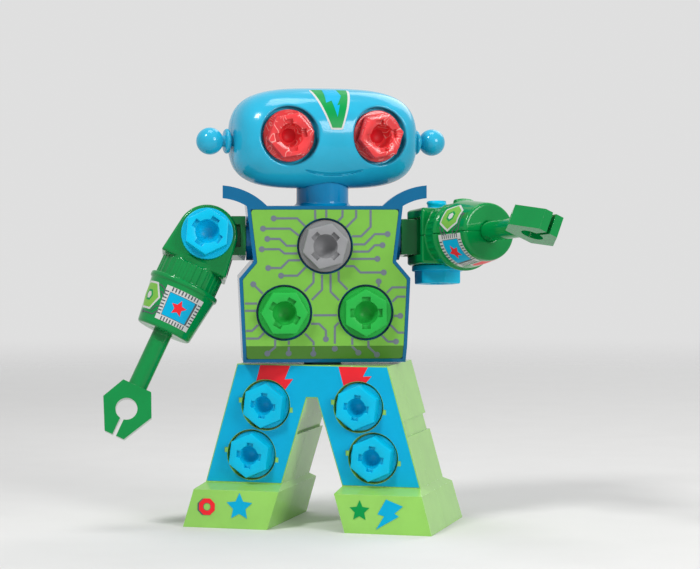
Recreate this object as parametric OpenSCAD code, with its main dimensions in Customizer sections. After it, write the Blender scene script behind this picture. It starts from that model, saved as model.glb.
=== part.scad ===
// Toy robot: splayed legs, a turning waist and neck, swinging clawed arms and toy bolts that unscrew.
// Millimetres. +Z is up, the robot's legs face -Y, and the origin is on the floor under the waist axis.
// Left and right are as seen from in front. The robot is drawn in a pose, set by the Pose section.

/* [Legs] */
// Height of the top of the legs
leg_top_z = 77.2; // [66:0.1:94]
// Half width of the legs at their top
leg_top_half = 36.8; // [33:0.1:46]
// How far the outer sides lean out for each millimetre down
leg_lean = 0.279; // [0.2:0.001:0.34]
// Distance of the legs' front from the waist axis
leg_front = 18.5; // [17:0.1:24]
// Distance of the legs' back from the waist axis
leg_back = 28.5; // [23:0.1:35]
// Top of the gap between the legs, below the top of the legs
gap_drop = 15.6; // [14:0.1:20]
// Half width of the gap at its top
gap_half = 2.5; // [2:0.1:4]
// How far the gap's sides lean out for each millimetre down
gap_lean = 0.299; // [0.2:0.001:0.32]
// Height of the groove at the knee
knee_z = 47.8; // [40:0.1:56]
// Width of the knee groove
knee_w = 7.6; // [4:0.1:10]
// Depth of the knee groove
knee_depth = 1.2; // [0.5:0.1:1.5]
// Half distance between the upper leg bolts
upper_bolt_x = 22.7; // [20:0.1:24]
// Upper leg bolts, below the top of the legs
upper_bolt_drop = 19.4; // [18:0.1:21]
// Half distance between the lower leg bolts
lower_bolt_x = 29.8; // [28:0.1:32]
// Lower leg bolts, below the top of the legs
lower_bolt_drop = 43.2; // [42:0.1:46]

/* [Feet] */
// Height of the feet up to their bevel
foot_h = 18; // [14:0.1:20]
// Height of the bevel on top of the feet
foot_bevel = 2.5; // [1.5:0.1:4]
// How far the feet stand out of the legs at the sides
foot_lap = 2.1; // [1:0.1:3]
// How far the toes stand out in front
toe = 11; // [8:0.1:14]
// How far the heels stand out behind
heel = 9; // [6:0.1:14]
// How far the toe leans back over its height
toe_lean = 1.1; // [0:0.1:3]

/* [Torso] */
// Height of the torso
torso_h = 73.6; // [68:0.1:89]
// Depth of the torso from front to back
torso_d = 42; // [36:0.1:51]
// Half width of the torso at its bottom
torso_bottom_half = 38.3; // [36:0.1:42]
// Half width of the torso where it is widest
torso_wide_half = 40.2; // [38:0.1:44]
// Half width of the torso at its waistline pinch
torso_pinch_half = 33.5; // [31:0.1:36]
// Half width of the torso at its top
torso_top_half = 36.6; // [34:0.1:38]
// Height of the widest point above the torso's bottom
torso_wide_h = 39.7; // [36:0.1:42]
// Height of the pinch above the torso's bottom
torso_pinch_h = 47.6; // [45:0.1:50]
// Height of the bent strip at the bottom of the chest
bend_h = 8; // [5:0.1:9]
// How far the bent strip leans in at its bottom
bend_in = 4; // [2:0.1:6]
// Width of the rim around the chest panel
chest_rim = 1.7; // [1:0.1:3]
// Thickness of the chest panel
panel_t = 1.2; // [0.8:0.1:2]
// Height of the upper chest bolt above the torso's bottom
chest_top_h = 54.8; // [53:0.1:56]
// Height of the lower chest bolts above the torso's bottom
chest_low_h = 23.6; // [22:0.1:26]
// Half distance between the lower chest bolts
chest_low_x = 19.1; // [17:0.1:21]
// Reach of the collar wings from the middle
wing_reach = 47.8; // [44:0.1:48]
// Radius of the curve along the top of the wings
wing_r = 32.5; // [30:0.1:34]
// Thickness of the wings
wing_t = 6; // [4:0.1:6]
// Depth of the wings from front to back
wing_d = 4.5; // [3:0.1:4.5]

/* [Head] */
// Half length of the head between the ears
head_half = 44.6; // [40:0.1:54]
// Half height of the head
head_r = 23.8; // [22:0.1:28]
// How square the head's outline is, where 2 is an ellipse
head_square = 3.4; // [2:0.1:3.4]
// Half distance between the eyes
eye_x = 21.6; // [20:0.1:24]
// Height of the eyes above the head's middle
eye_rise = 0.9; // [0:0.1:2]
// Distance of the eye seats in front of the head's middle
eye_seat = 15.5; // [13:0.1:16]
// Angle that each eye looks outwards
eye_toe = 4; // [0:0.5:8]
// Radius of the smile's arc
smile_r = 46; // [36:0.1:56]
// Half width of the smile
smile_half = 13.8; // [10:0.1:17]
// Lowest point of the smile below the head's middle
smile_drop = 17.8; // [15:0.1:19]
// Width of the smile's groove
smile_w = 1; // [0.6:0.1:1.6]
// Depth of the smile's groove
smile_depth = 0.8; // [0.4:0.1:1.2]
// Radius of the ear balls
ear_r = 6.4; // [5:0.1:8]
// Distance of the ear balls from the head's middle
ear_reach = 55.2; // [53:0.1:66]
// Drop of the ears below the head's middle
ear_drop = 1.5; // [0:0.1:3]

/* [Neck and waist] */
// Height of the neck that shows between torso and head
neck_h = 8.1; // [6:0.1:12]
// Radius of the neck
neck_r = 12.4; // [11:0.1:14]
// Radius of the pin that the head turns on
neck_pin_r = 7; // [5:0.1:8]
// Radius of the pin that the torso turns on
waist_pin_r = 9; // [7:0.1:10]
// Gap between the legs and the torso
waist_gap = 1.2; // [0.8:0.1:2]

/* [Arms] */
// Distance of the arm hinges from the middle
shoulder_x = 55; // [55:0.1:66]
// Drop of the arm hinges below the torso's top
shoulder_drop = 15.5; // [15:0.1:18]
// Height of the square shoulder bar
bar_h = 18.7; // [16:0.1:19]
// Depth of the square shoulder bar
bar_d = 17; // [14:0.1:20]
// Radius of the pin that the shoulder turns on
shoulder_pin_r = 6.5; // [5:0.1:7]
// Thickness of each fork plate
fork_t = 4.4; // [3:0.1:6]
// Radius of the fork plates round the arm bolt
fork_r = 14.3; // [13.5:0.1:15]
// Half width of the fork plates at their corners
fork_half = 16.5; // [15:0.1:17]
// Distance of the fork corners below the hinge
fork_corner = 15.3; // [14:0.1:17]
// Radius of the neck between fork and cuff
arm_neck_r = 14.9; // [14:0.1:16]
// Distance of the cuff's top below the hinge
cuff_top = 24.8; // [23:0.1:28]
// Length of the cuff
cuff_len = 24.7; // [22:0.1:30]
// Radius of the lip round the cuff's top
lip_r = 17; // [16:0.1:17.2]
// Radius of the cuff below its lip
cuff_r = 16.2; // [15:0.1:16.4]
// Radius of the cuff at its end
cuff_end_r = 13.2; // [11:0.1:14]
// Radius of the forearm rod
rod_r = 4.6; // [4:0.1:5.6]
// Length of the rod that shows
rod_len = 28.3; // [22:0.1:36]
// Length of the claw
claw_len = 25.4; // [23:0.1:31]
// Thickness of the claw
claw_t = 9.5; // [8:0.1:12]
// Half width of the claw where it starts
claw_root_half = 7.2; // [6:0.1:8]
// Half width of the claw where it is widest
claw_half = 12.4; // [11:0.1:14]
// Half width of the claw at its tip
claw_tip_half = 4.9; // [4:0.1:6]
// Distance of the claw's widest point from its start
claw_wide_at = 10.9; // [9:0.1:12]
// Distance of the claw's hole from its start
claw_hole_at = 11.9; // [11:0.1:13]
// Radius of the claw's hole
claw_hole_r = 5.1; // [4:0.1:6.2]
// Width of the claw's mouth
claw_mouth = 1.8; // [1:0.1:4]

/* [Bolts] */
// Radius of a bolt's flange
flange_r = 12.2; // [10:0.1:12.5]
// Thickness of a bolt's flange
flange_t = 2.6; // [2:0.1:4]
// Radius of a bolt's six-sided head over its corners
hex_r = 11.2; // [9:0.1:11.4]
// Height of a bolt's six-sided head
hex_h = 6; // [4:0.1:8]
// Radius of a bolt's shank
shank_r = 5; // [4:0.1:6]
// Length of a bolt's shank
shank_len = 31; // [26:0.1:31]
// Radius of the socket in a bolt
socket_r = 5.6; // [4.5:0.1:6.5]
// Depth of the socket in a bolt
socket_depth = 8; // [6:0.1:9]
// Reach of the keyways beside the socket
key_r = 8.4; // [7:0.1:8.6]
// Width of the keyways
key_w = 4.4; // [3:0.1:5]
// Depth of the keyways
key_depth = 2.2; // [2:0.1:4]
// Size of the leg bolts' flange, against the others
leg_bolt_flange = 0.92; // [0.88:0.01:1]
// Size of the leg bolts' socket, against the others
leg_bolt_socket = 0.8; // [0.7:0.01:1]
// Gap around a flange in its recess
recess_gap = 0.7; // [0.4:0.1:1]
// How far a flange lies below the face around it
flange_sunk = 1; // [0.5:0.1:2]
// Length of the collar that each bolt screws into
collar_len = 12; // [8:0.1:14]

/* [Shells and fits] */
// Thickness of the moulded walls
wall = 2.4; // [1.8:0.1:2.9]
// Radial clearance of pins and bolts that turn
turn_fit = 0.05; // [0.02:0.01:0.1]
// Clearance between faces that pass each other
face_gap = 0.3; // [0.2:0.05:0.5]
// Clearance round pieces that are fitted in once
fit_gap = 0.1; // [0.05:0.05:0.2]
// Thickness of the printed stickers
sticker_t = 0.25; // [0.1:0.05:0.4]
// Radius of the screws' heads
screw_head_r = 2.6; // [2:0.1:3]
// Radius of the screws' shanks
screw_r = 1.3; // [1:0.1:1.5]

/* [Pose] */
// Turn of the torso on the legs
waist_turn = 19; // [-180:1:180]
// Turn of the head on the torso
neck_turn = 13.5; // [-180:1:180]
// Turn of the left shoulder, where 0 has the bolt in front and 90 has it below
left_turn = -10; // [-180:1:180]
// Turn of the right shoulder
right_turn = 85; // [-180:1:180]
// Swing of the left arm, where 0 hangs straight down and 90 points to the side
left_swing = 25; // [12:0.1:158]
// Swing of the right arm
right_swing = 157; // [12:0.1:158]
// Turn of the left claw in its cuff
left_wrist = 0; // [-180:1:180]
// Turn of the right claw in its cuff
right_wrist = 22; // [-180:1:180]

/* [Hidden] */

$fn = 64;
left = -1;
right = 1;
big = 400;
past = 1;
overlap = 0.02;
LIME = "yellowgreen";
BLUE = "steelblue";
SKY = "deepskyblue";
GREEN = "seagreen";
STEEL = "silver";

// Heights
gap_top_z = leg_top_z - gap_drop;
upper_bolt_z = leg_top_z - upper_bolt_drop;
lower_bolt_z = leg_top_z - lower_bolt_drop;
torso_z = leg_top_z + waist_gap;
torso_top_z = torso_z + torso_h;
shoulder_z = torso_top_z - shoulder_drop;
head_z = torso_top_z + neck_h + head_r;
neck_sunk = 6;
neck_shoulder_z = head_z - head_r + neck_sunk;

// Bolt recesses
seat_gap = 0.15;
sticker_rim = 0.5;
panel_gap = 0.3;
chest_recess = flange_t + flange_sunk + seat_gap;
leg_recess = chest_recess;
chest_hole_r = max(flange_r, hex_r) + recess_gap;
leg_hole_r = max(leg_bolt_flange * flange_r, hex_r) + recess_gap;
eye_hole_r = max(flange_r, hex_r) + 2 * recess_gap;
collar_r = shank_r + wall;
shank_hole_r = shank_r + turn_fit;

// Wings
wing_past = 2.4;
wing_rise = 9.7;
wing_root = 12;

// Waist and neck bearings
hub_t = 3;
hub_r = waist_pin_r + 5;
washer_t = 2;
head_plate_t = 3;
neck_flange_t = 2.5;
neck_fillet = 2;
neck_waist_r = neck_pin_r + 2;
screw_head_h = 1.8;

// Shoulders
bar_sunk = 3.4;
bar_start = torso_wide_half - bar_sunk;
boss_face = bar_start - face_gap;
boss_r = shoulder_pin_r + 4;
boss_len = 6;
boss_inside = boss_face - boss_len;
pin_end = boss_inside - face_gap;
fork_in = bar_d / 2 + face_gap;
fork_out = fork_in + fork_t;
fork_clear = 3;
fork_floor = bar_h / 2 + fork_clear;
fork_floor_t = 3;
window_rim = wall + 1.5;
window_sunk = 5;

// Forearm
cuff_end = cuff_top + cuff_len;
rod_end = cuff_end + rod_len;
claw_end = rod_end + claw_len;
claw_hole_z = rod_end + claw_hole_at;
grip_lap = 2.4;
grip_flange_r = rod_r + grip_lap;
grip_flange_t = 2;
grip_sunk = 14;
grip_top = cuff_end - grip_sunk;
cuff_lip_h = 2.4;
cuff_lip_slope = 0.8;
cuff_round = 1.2;
notch_h = 3.2;
notch_depth = 0.8;

foot_roof = 1;

// Where the screws go, as distances from the middle and heights
hip_in = 8;
hip_drop = 6.4;
ankle_in = 8.5;
ankle_z = foot_h + foot_bevel + 4;
leg_screw_spots = [for (s = [left, right]) each [
    [s * (leg_top_half - hip_in), leg_top_z - hip_drop], [s * (leg_half(ankle_z) - ankle_in), ankle_z]
]];
low_screw_x = 31;
low_screw_h = 8;
high_screw_out = 5.6;
high_screw_drop = 5.5;
torso_screw_spots = [for (s = [left, right]) each [
    [s * low_screw_x, torso_z + low_screw_h], [s * (neck_r + high_screw_out), torso_top_z - high_screw_drop]
]];
head_screw_spots = [[-33, 9], [33, 9]];
head_screw_seat = 11;
screw_boss_wall = 1.9;
screw_boss_r = screw_r + screw_boss_wall;
screw_hole_r = screw_r + fit_gap;
screw_reach = 10;
end_screw_r = 1.2 * screw_r;
end_screw_hole_r = end_screw_r + fit_gap;
waist_washer_r = waist_pin_r + 3.5;
neck_washer_r = neck_pin_r + 3;
shoulder_washer_r = shoulder_pin_r + 2.5;

// Outline helpers. Outlines run anticlockwise.
function inward(a, b) = [a.y - b.y, b.x - a.x] / norm(b - a);
function inset(pts, d) = [
    for (i = [0 : len(pts) - 1])
        let (
            before = inward(pts[(i + len(pts) - 1) % len(pts)], pts[i]),
            after = inward(pts[i], pts[(i + 1) % len(pts)])
        )
        pts[i] + d * (before + after) / (1 + before * after)
];
function flip(pts) = [for (i = [len(pts) - 1 : -1 : 0]) [-pts[i].x, pts[i].y]];
function arc(middle, r, from, to, steps) = [
    for (i = [0 : steps])
        let (a = from + (to - from) * i / steps)
        middle + r * [cos(a), sin(a)]
];

// Half widths of the legs and of the gap between them at a height
function leg_half(z) = leg_top_half + leg_lean * (leg_top_z - z);
function gap_at(z) = gap_half + gap_lean * (gap_top_z - z);

leg_outline = [
    [leg_half(0), 0], [leg_top_half, leg_top_z], [-leg_top_half, leg_top_z], [-leg_half(0), 0],
    [-gap_at(0), 0], [-gap_half, gap_top_z], [gap_half, gap_top_z], [gap_at(0), 0]
];
torso_side = [
    [torso_bottom_half, torso_z], [torso_wide_half, torso_z + torso_wide_h],
    [torso_pinch_half, torso_z + torso_pinch_h], [torso_top_half, torso_top_z]
];
torso_outline = concat(torso_side, flip(torso_side));

// Half of the head's outline, as distances from its long axis
function head_profile(half, r, steps = 24) = [
    for (i = [-steps : steps])
        let (a = 90 * i / steps)
        [r * pow(cos(a), 2 / head_square), sign(a) * half * pow(abs(sin(a)), 2 / head_square)]
];

// An outline seen from the front, between two depths
module front_prism(pts, from_y, to_y) {
    translate([0, to_y, 0]) rotate([90, 0, 0]) linear_extrude(to_y - from_y) polygon(pts);
}

// An outline seen from the side, between two widths
module side_prism(pts, from_x, to_x) {
    translate([from_x, 0, 0]) rotate([90, 0, 90]) linear_extrude(to_x - from_x) polygon(pts);
}

// Everything in front of, or behind, the plane where the shells part
module front_half() {
    translate([-big, -big, -big]) cube([2 * big, big, 2 * big]);
}
module rear_half() {
    translate([-big, 0, -big]) cube([2 * big, big, 2 * big]);
}

// A pin along the depth, between two depths
module pin_y(r, from_y, to_y) {
    translate([0, to_y, 0]) rotate([90, 0, 0]) cylinder(r = r, h = to_y - from_y);
}

// A pin across the width, between two widths
module pin_x(r, from_x, to_x) {
    translate([from_x, 0, 0]) rotate([0, 90, 0]) cylinder(r = r, h = to_x - from_x);
}

// A pin that stands up, between two heights
module pin_z(r, from_z, to_z) {
    translate([0, 0, from_z]) cylinder(r = r, h = to_z - from_z);
}

// Frames of the moving pieces
module at_torso() {
    rotate([0, 0, waist_turn]) children();
}
module at_head() {
    at_torso() translate([0, 0, head_z]) rotate([0, 0, neck_turn]) children();
}
module at_shoulder(side) {
    turn = side == left ? left_turn : right_turn;
    at_torso() mirror([side == left ? 1 : 0, 0, 0]) translate([shoulder_x, 0, shoulder_z]) rotate([turn, 0, 0])
        children();
}
module at_arm(side) {
    swing = side == left ? left_swing : right_swing;
    at_shoulder(side) rotate([0, -swing, 0]) children();
}
module at_leg_bolt(x, z) {
    translate([x, -leg_front, z]) rotate([90, 0, 0]) children();
}
module at_chest_bolt(x, h) {
    translate([x, -torso_d / 2, torso_z + h]) rotate([90, 0, 0]) children();
}
module at_eye(side) {
    translate([side * eye_x, -eye_seat, eye_rise]) rotate([0, 0, side * eye_toe]) rotate([90, 0, 0]) children();
}
module at_leg_bolts() {
    for (side = [left, right]) {
        at_leg_bolt(side * upper_bolt_x, upper_bolt_z) children();
        at_leg_bolt(side * lower_bolt_x, lower_bolt_z) children();
    }
}
module at_chest_bolts() {
    at_chest_bolt(0, chest_top_h) children();
    for (side = [left, right]) {
        at_chest_bolt(side * chest_low_x, chest_low_h) children();
    }
}

// A toy bolt. Its flange sits on z = 0 and its head points up.
module bolt(spin, flange_size = 1, socket_size = 1) {
    top = flange_t + hex_h;
    rotate([0, 0, spin]) difference() {
        union() {
            cylinder(r = flange_r * flange_size, h = flange_t);
            cylinder(r = hex_r, h = top, $fn = 6);
            pin_z(shank_r, -shank_len, past);
        }
        pin_z(socket_r * socket_size, top - socket_depth, top + past);
        for (turn = [0, 90]) {
            rotate([0, 0, turn]) translate([0, 0, top - key_depth / 2 + past / 2])
                cube([2 * key_r * socket_size, key_w * socket_size, key_depth + past], center = true);
        }
    }
}

// The cup and collar that a bolt sits in, below a face at z = 0, and what is cut out of them
module bolt_cup(hole_r, recess) {
    pin_z(hole_r + wall, -recess - wall, -wall / 2);
    pin_z(collar_r, -recess - collar_len, -recess);
}
module bolt_recess(hole_r, recess) {
    pin_z(hole_r, -recess, big / 4);
    pin_z(shank_hole_r, -recess - collar_len - past, past - recess);
}

// A shell screw along the depth, its head at the back and its tip in front
module shell_screw(head_y) {
    tip_y = -screw_reach;
    pin_y(screw_head_r, head_y, head_y + screw_head_h);
    pin_y(screw_r, tip_y, head_y + past / 2);
}
module screw_tunnel(head_y) {
    pin_y(screw_hole_r, -screw_reach - past, big);
    pin_y(screw_head_r + fit_gap, head_y, big);
}

// A screw that stands on end, its head's underside at z = 0 and its shank below
module end_screw(length) {
    pin_z(1.6 * screw_head_r, 0, screw_head_h);
    pin_z(end_screw_r, -length, screw_head_h / 2);
}

// Legs

// One foot on each side, seen from the front and from the side
module feet(front_outline, side_outline) {
    for (side = [left, right]) {
        intersection() {
            front_prism(side == left ? flip(front_outline) : front_outline, -big, big);
            side_prism(side_outline, -big, big);
        }
    }
}

module foot_block() {
    front = -leg_front - toe;
    back = leg_back + heel;
    top = foot_h + foot_bevel;
    feet([
        [gap_at(0) - foot_lap, 0], [leg_half(0) + foot_lap, 0], [leg_half(foot_h) + foot_lap, foot_h],
        [leg_half(top), top], [gap_at(top), top], [gap_at(foot_h) - foot_lap, foot_h]
    ], [
        [front, 0], [back, 0], [back - toe_lean, foot_h], [leg_back, top + overlap],
        [-leg_front, top + overlap], [front + toe_lean, foot_h]
    ]);
}

module foot_hollow() {
    lap = foot_lap - wall;
    front = wall - leg_front - toe;
    back = leg_back + heel - wall;
    top = foot_h - foot_roof;
    feet([
        [gap_at(wall) - lap, wall], [leg_half(wall) + lap, wall], [leg_half(top) + lap, top],
        [gap_at(top) - lap, top]
    ], [[front, wall], [back, wall], [back - toe_lean, top], [front + toe_lean, top]]);
}

// The groove round the sides and back of each leg
module knee_groove() {
    intersection() {
        translate([-big, -big, knee_z - knee_w / 2]) cube([2 * big, 2 * big, knee_w]);
        difference() {
            front_prism(inset(leg_outline, -past), -leg_front + wall / 2, leg_back + past);
            front_prism(inset(leg_outline, knee_depth), -2 * leg_front, leg_back - knee_depth);
        }
    }
}

module leg_skin() {
    difference() {
        union() {
            front_prism(leg_outline, -leg_front, leg_back);
            foot_block();
        }
        knee_groove();
        front_prism(inset(leg_outline, wall), -leg_front + wall, leg_back - wall);
        foot_hollow();
    }
}

module leg_hub() {
    pin_z(hub_r, leg_top_z - hub_t, leg_top_z - wall / 2);
}
module leg_hub_bore() {
    pin_z(waist_pin_r + turn_fit, leg_top_z - hub_t - past, leg_top_z + past);
}

module leg_front_shell() {
    color(LIME) difference() {
        union() {
            intersection() {
                union() {
                    leg_skin();
                    leg_hub();
                }
                front_half();
            }
            at_leg_bolts() bolt_cup(leg_hole_r, leg_recess);
            for (spot = leg_screw_spots) {
                translate([spot.x, 0, spot.y]) pin_y(screw_boss_r, -leg_front + wall / 2, 0);
            }
        }
        at_leg_bolts() bolt_recess(leg_hole_r, leg_recess);
        for (spot = leg_screw_spots) {
            translate([spot.x, 0, spot.y]) screw_tunnel(leg_back - wall);
        }
        leg_hub_bore();
    }
}

module leg_rear_shell() {
    color(LIME) difference() {
        union() {
            intersection() {
                union() {
                    leg_skin();
                    leg_hub();
                }
                rear_half();
            }
            for (spot = leg_screw_spots) {
                translate([spot.x, 0, spot.y]) pin_y(screw_boss_r + wall / 2, 0, leg_back - wall / 2);
            }
        }
        for (spot = leg_screw_spots) {
            translate([spot.x, 0, spot.y]) screw_tunnel(leg_back - 2 * wall);
        }
        leg_hub_bore();
    }
}

module leg_screws() {
    color(STEEL) for (spot = leg_screw_spots) {
        translate([spot.x, 0, spot.y]) shell_screw(leg_back - 2 * wall);
    }
}

// The printed sticker over the front of both legs
module leg_sticker() {
    bottom = foot_h + foot_bevel;
    outline = [
        [leg_half(bottom), bottom], [leg_top_half, leg_top_z], [-leg_top_half, leg_top_z],
        [-leg_half(bottom), bottom], [-gap_at(bottom), bottom], [-gap_half, gap_top_z],
        [gap_half, gap_top_z], [gap_at(bottom), bottom]
    ];
    color(SKY) difference() {
        front_prism(inset(outline, sticker_rim), -leg_front - sticker_t, -leg_front);
        at_leg_bolts() pin_z(leg_hole_r + sticker_rim, -past, past);
    }
}

// The face that the toe stickers lie on
module at_toe(x, z) {
    lean = atan(toe_lean / foot_h);
    translate([x, -leg_front - toe, 0]) rotate([90 - lean, 0, 0]) translate([0, z / cos(lean), 0]) children();
}

module star(r, points = 5) {
    polygon([
        for (i = [0 : 2 * points - 1])
            (i % 2 == 0 ? r : 0.48 * r) * [sin(180 * i / points), cos(180 * i / points)]
    ]);
}

module lightning(size) {
    polygon(size * [
        [-0.1, 1], [0.75, 0.55], [0.3, 0.15], [0.55, 0.02], [-0.75, -1], [-0.22, -0.2], [-0.7, -0.05]
    ]);
}

module foot_stickers() {
    emblem_z = 0.55 * foot_h;
    nut_x = leg_half(emblem_z) - 7;
    star_x = leg_half(emblem_z) - 23;
    color("crimson") at_toe(-nut_x, emblem_z) linear_extrude(sticker_t) difference() {
        circle(r = 4.2, $fn = 8);
        circle(r = 1.9);
    }
    color(SKY) at_toe(-star_x, emblem_z) linear_extrude(sticker_t) star(5.2);
    color(GREEN) at_toe(gap_at(emblem_z) + 8, emblem_z) linear_extrude(sticker_t) star(4.4);
    color(SKY) at_toe(star_x + 6.5, emblem_z) linear_extrude(sticker_t) lightning(6);
}

module leg_bolt(x, z) {
    color(SKY) at_leg_bolt(x, z) translate([0, 0, seat_gap - leg_recess])
        bolt(83, leg_bolt_flange, leg_bolt_socket);
}
module leg_bolt_upper_left() {
    leg_bolt(-upper_bolt_x, upper_bolt_z);
}
module leg_bolt_upper_right() {
    leg_bolt(upper_bolt_x, upper_bolt_z);
}
module leg_bolt_lower_left() {
    leg_bolt(-lower_bolt_x, lower_bolt_z);
}
module leg_bolt_lower_right() {
    leg_bolt(lower_bolt_x, lower_bolt_z);
}

// Torso

// The chest seen from the side: a flat front with a strip at the bottom that leans in
function chest_profile(shift) = [
    [-torso_d / 2 + shift, torso_top_z + past], [-torso_d / 2 + shift, torso_z + bend_h],
    [-torso_d / 2 + shift + bend_in, torso_z], [-torso_d / 2 + shift + bend_in + 1, torso_z - past]
];

module behind_chest(shift) {
    back = [[torso_d, torso_z - past], [torso_d, torso_top_z + past]];
    side_prism(concat(chest_profile(shift), back), -big, big);
}

module torso_skin() {
    difference() {
        intersection() {
            front_prism(torso_outline, -torso_d / 2, torso_d / 2);
            behind_chest(0);
        }
        intersection() {
            front_prism(inset(torso_outline, wall), -torso_d / 2, torso_d / 2 - wall);
            behind_chest(panel_t + wall);
        }
    }
}

module chest_plate(gap) {
    difference() {
        intersection() {
            front_prism(inset(torso_outline, chest_rim - gap), -torso_d, 0);
            behind_chest(-gap);
        }
        behind_chest(panel_t);
    }
}

// A wing is a slice of a ring that curves up and out of the torso's top corner
module wing() {
    middle = [wing_reach + wing_past, torso_top_z - wing_r + wing_rise];
    root = [torso_top_half - wing_root, torso_top_z - wall];
    translate([0, -torso_d / 2 + wing_d, 0]) rotate([90, 0, 0]) linear_extrude(wing_d) intersection() {
        translate(middle) difference() {
            circle(r = wing_r);
            circle(r = wing_r - wing_t);
        }
        translate(root) square([wing_reach - root.x, wing_r]);
    }
}

// The seat that each shoulder turns against
module shoulder_boss(side) {
    mirror([side == left ? 1 : 0, 0, 0]) translate([0, 0, shoulder_z]) pin_x(boss_r, boss_inside, boss_face);
}
module shoulder_bore(side) {
    mirror([side == left ? 1 : 0, 0, 0]) translate([0, 0, shoulder_z])
        pin_x(shoulder_pin_r + turn_fit, boss_inside - past, boss_face + past);
}

module torso_holes() {
    for (side = [left, right]) {
        shoulder_bore(side);
    }
    pin_z(waist_pin_r + face_gap, torso_z - past, torso_z + wall + past);
    pin_z(neck_waist_r + fit_gap, torso_top_z - wall - past, torso_top_z + past);
}

module torso_front_shell() {
    color(BLUE) at_torso() difference() {
        union() {
            intersection() {
                union() {
                    torso_skin();
                    for (side = [left, right]) {
                        shoulder_boss(side);
                    }
                }
                front_half();
            }
            wing();
            mirror([1, 0, 0]) wing();
            at_chest_bolts() bolt_cup(chest_hole_r, chest_recess);
            for (spot = torso_screw_spots) {
                translate([spot.x, 0, spot.y]) pin_y(screw_boss_r, -torso_d / 2 + panel_t + wall / 2, 0);
            }
        }
        chest_plate(fit_gap);
        at_chest_bolts() bolt_recess(chest_hole_r, chest_recess);
        for (spot = torso_screw_spots) {
            translate([spot.x, 0, spot.y]) screw_tunnel(torso_d / 2 - wall);
        }
        torso_holes();
    }
}

module torso_rear_shell() {
    color(BLUE) at_torso() difference() {
        union() {
            intersection() {
                union() {
                    torso_skin();
                    for (side = [left, right]) {
                        shoulder_boss(side);
                    }
                }
                rear_half();
            }
            for (spot = torso_screw_spots) {
                translate([spot.x, 0, spot.y]) pin_y(screw_boss_r + wall / 2, 0, torso_d / 2 - wall / 2);
            }
        }
        for (spot = torso_screw_spots) {
            translate([spot.x, 0, spot.y]) screw_tunnel(torso_d / 2 - 2 * wall);
        }
        torso_holes();
    }
}

module torso_screws() {
    color(STEEL) at_torso() for (spot = torso_screw_spots) {
        translate([spot.x, 0, spot.y]) shell_screw(torso_d / 2 - 2 * wall);
    }
}

module chest_panel() {
    color(LIME) at_torso() difference() {
        chest_plate(0);
        at_chest_bolts() pin_z(chest_hole_r + panel_gap, -chest_recess - past, past);
    }
}

module chest_bolt(tint, x, h, spin) {
    color(tint) at_torso() at_chest_bolt(x, h) translate([0, 0, seat_gap - chest_recess]) bolt(spin);
}
module chest_bolt_top() {
    chest_bolt("gray", 0, chest_top_h, 135);
}
module chest_bolt_left() {
    chest_bolt("limegreen", -chest_low_x, chest_low_h, 60);
}
module chest_bolt_right() {
    chest_bolt("limegreen", chest_low_x, chest_low_h, 90);
}

// Waist: a flanged pin held in the torso, with a washer and a screw under the legs' top
waist_screw_len = 12;
waist_pin_end = leg_top_z - hub_t - face_gap;

module waist_pin() {
    color(BLUE) at_torso() difference() {
        union() {
            pin_z(hub_r, torso_z + wall, torso_z + wall + hub_t);
            pin_z(waist_pin_r, waist_pin_end, torso_z + wall + past);
        }
        pin_z(end_screw_hole_r, waist_pin_end - past, waist_pin_end + waist_screw_len);
    }
}

module waist_washer() {
    color(STEEL) at_torso() difference() {
        pin_z(waist_washer_r, waist_pin_end - washer_t, waist_pin_end);
        pin_z(end_screw_hole_r, waist_pin_end - washer_t - past, waist_pin_end + past);
    }
}

module waist_screw() {
    color(STEEL) at_torso() translate([0, 0, waist_pin_end - washer_t]) mirror([0, 0, 1])
        end_screw(waist_screw_len);
}

// Neck: a post clamped in the torso, with the pin that the head turns on
neck_plate_z = neck_shoulder_z + face_gap;
neck_pin_end = neck_plate_z + head_plate_t + face_gap;
neck_screw_len = 10;

module neck_post() {
    base = torso_top_z;
    fillet = arc([neck_r + neck_fillet, base + neck_fillet], neck_fillet, 270, 180, 6);
    outline = concat(
        [[0, base - wall - neck_flange_t], [neck_r, base - wall - neck_flange_t], [neck_r, base - wall]],
        [[neck_waist_r, base - wall], [neck_waist_r, base]],
        fillet,
        [[neck_r, neck_shoulder_z], [neck_pin_r, neck_shoulder_z]],
        [[neck_pin_r, neck_pin_end], [0, neck_pin_end]]
    );
    color(BLUE) at_torso() difference() {
        rotate_extrude() polygon(outline);
        pin_z(end_screw_hole_r, neck_pin_end - neck_screw_len, neck_pin_end + past);
    }
}

module neck_washer() {
    color(STEEL) at_torso() difference() {
        pin_z(neck_washer_r, neck_pin_end, neck_pin_end + washer_t);
        pin_z(end_screw_hole_r, neck_pin_end - past, neck_pin_end + washer_t + past);
    }
}

module neck_screw() {
    color(STEEL) at_torso() translate([0, 0, neck_pin_end + washer_t]) end_screw(neck_screw_len);
}

// Head, about its own middle

module head_solid(shrink) {
    rotate([0, 90, 0]) rotate_extrude() polygon(head_profile(head_half - shrink, head_r - shrink));
}

ear_pin_r = 2.6;
ear_collar_r = 5.9;
ear_flange_r = 4.4;
ear_flange_x = head_half - 6;
ear_flange_t = 2;
ear_collar_x = head_half + 1.2;
ear_collar_t = 2.4;

module at_ear(side) {
    mirror([side == left ? 1 : 0, 0, 0]) translate([0, 0, -ear_drop]) children();
}

module head_bearing() {
    intersection() {
        head_solid(wall / 2);
        translate([-2 * neck_r, -2 * neck_r, neck_plate_z - head_z - past])
            cube([4 * neck_r, 4 * neck_r, head_plate_t + past]);
    }
}

module head_skin() {
    difference() {
        head_solid(0);
        head_solid(wall);
    }
}

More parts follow.
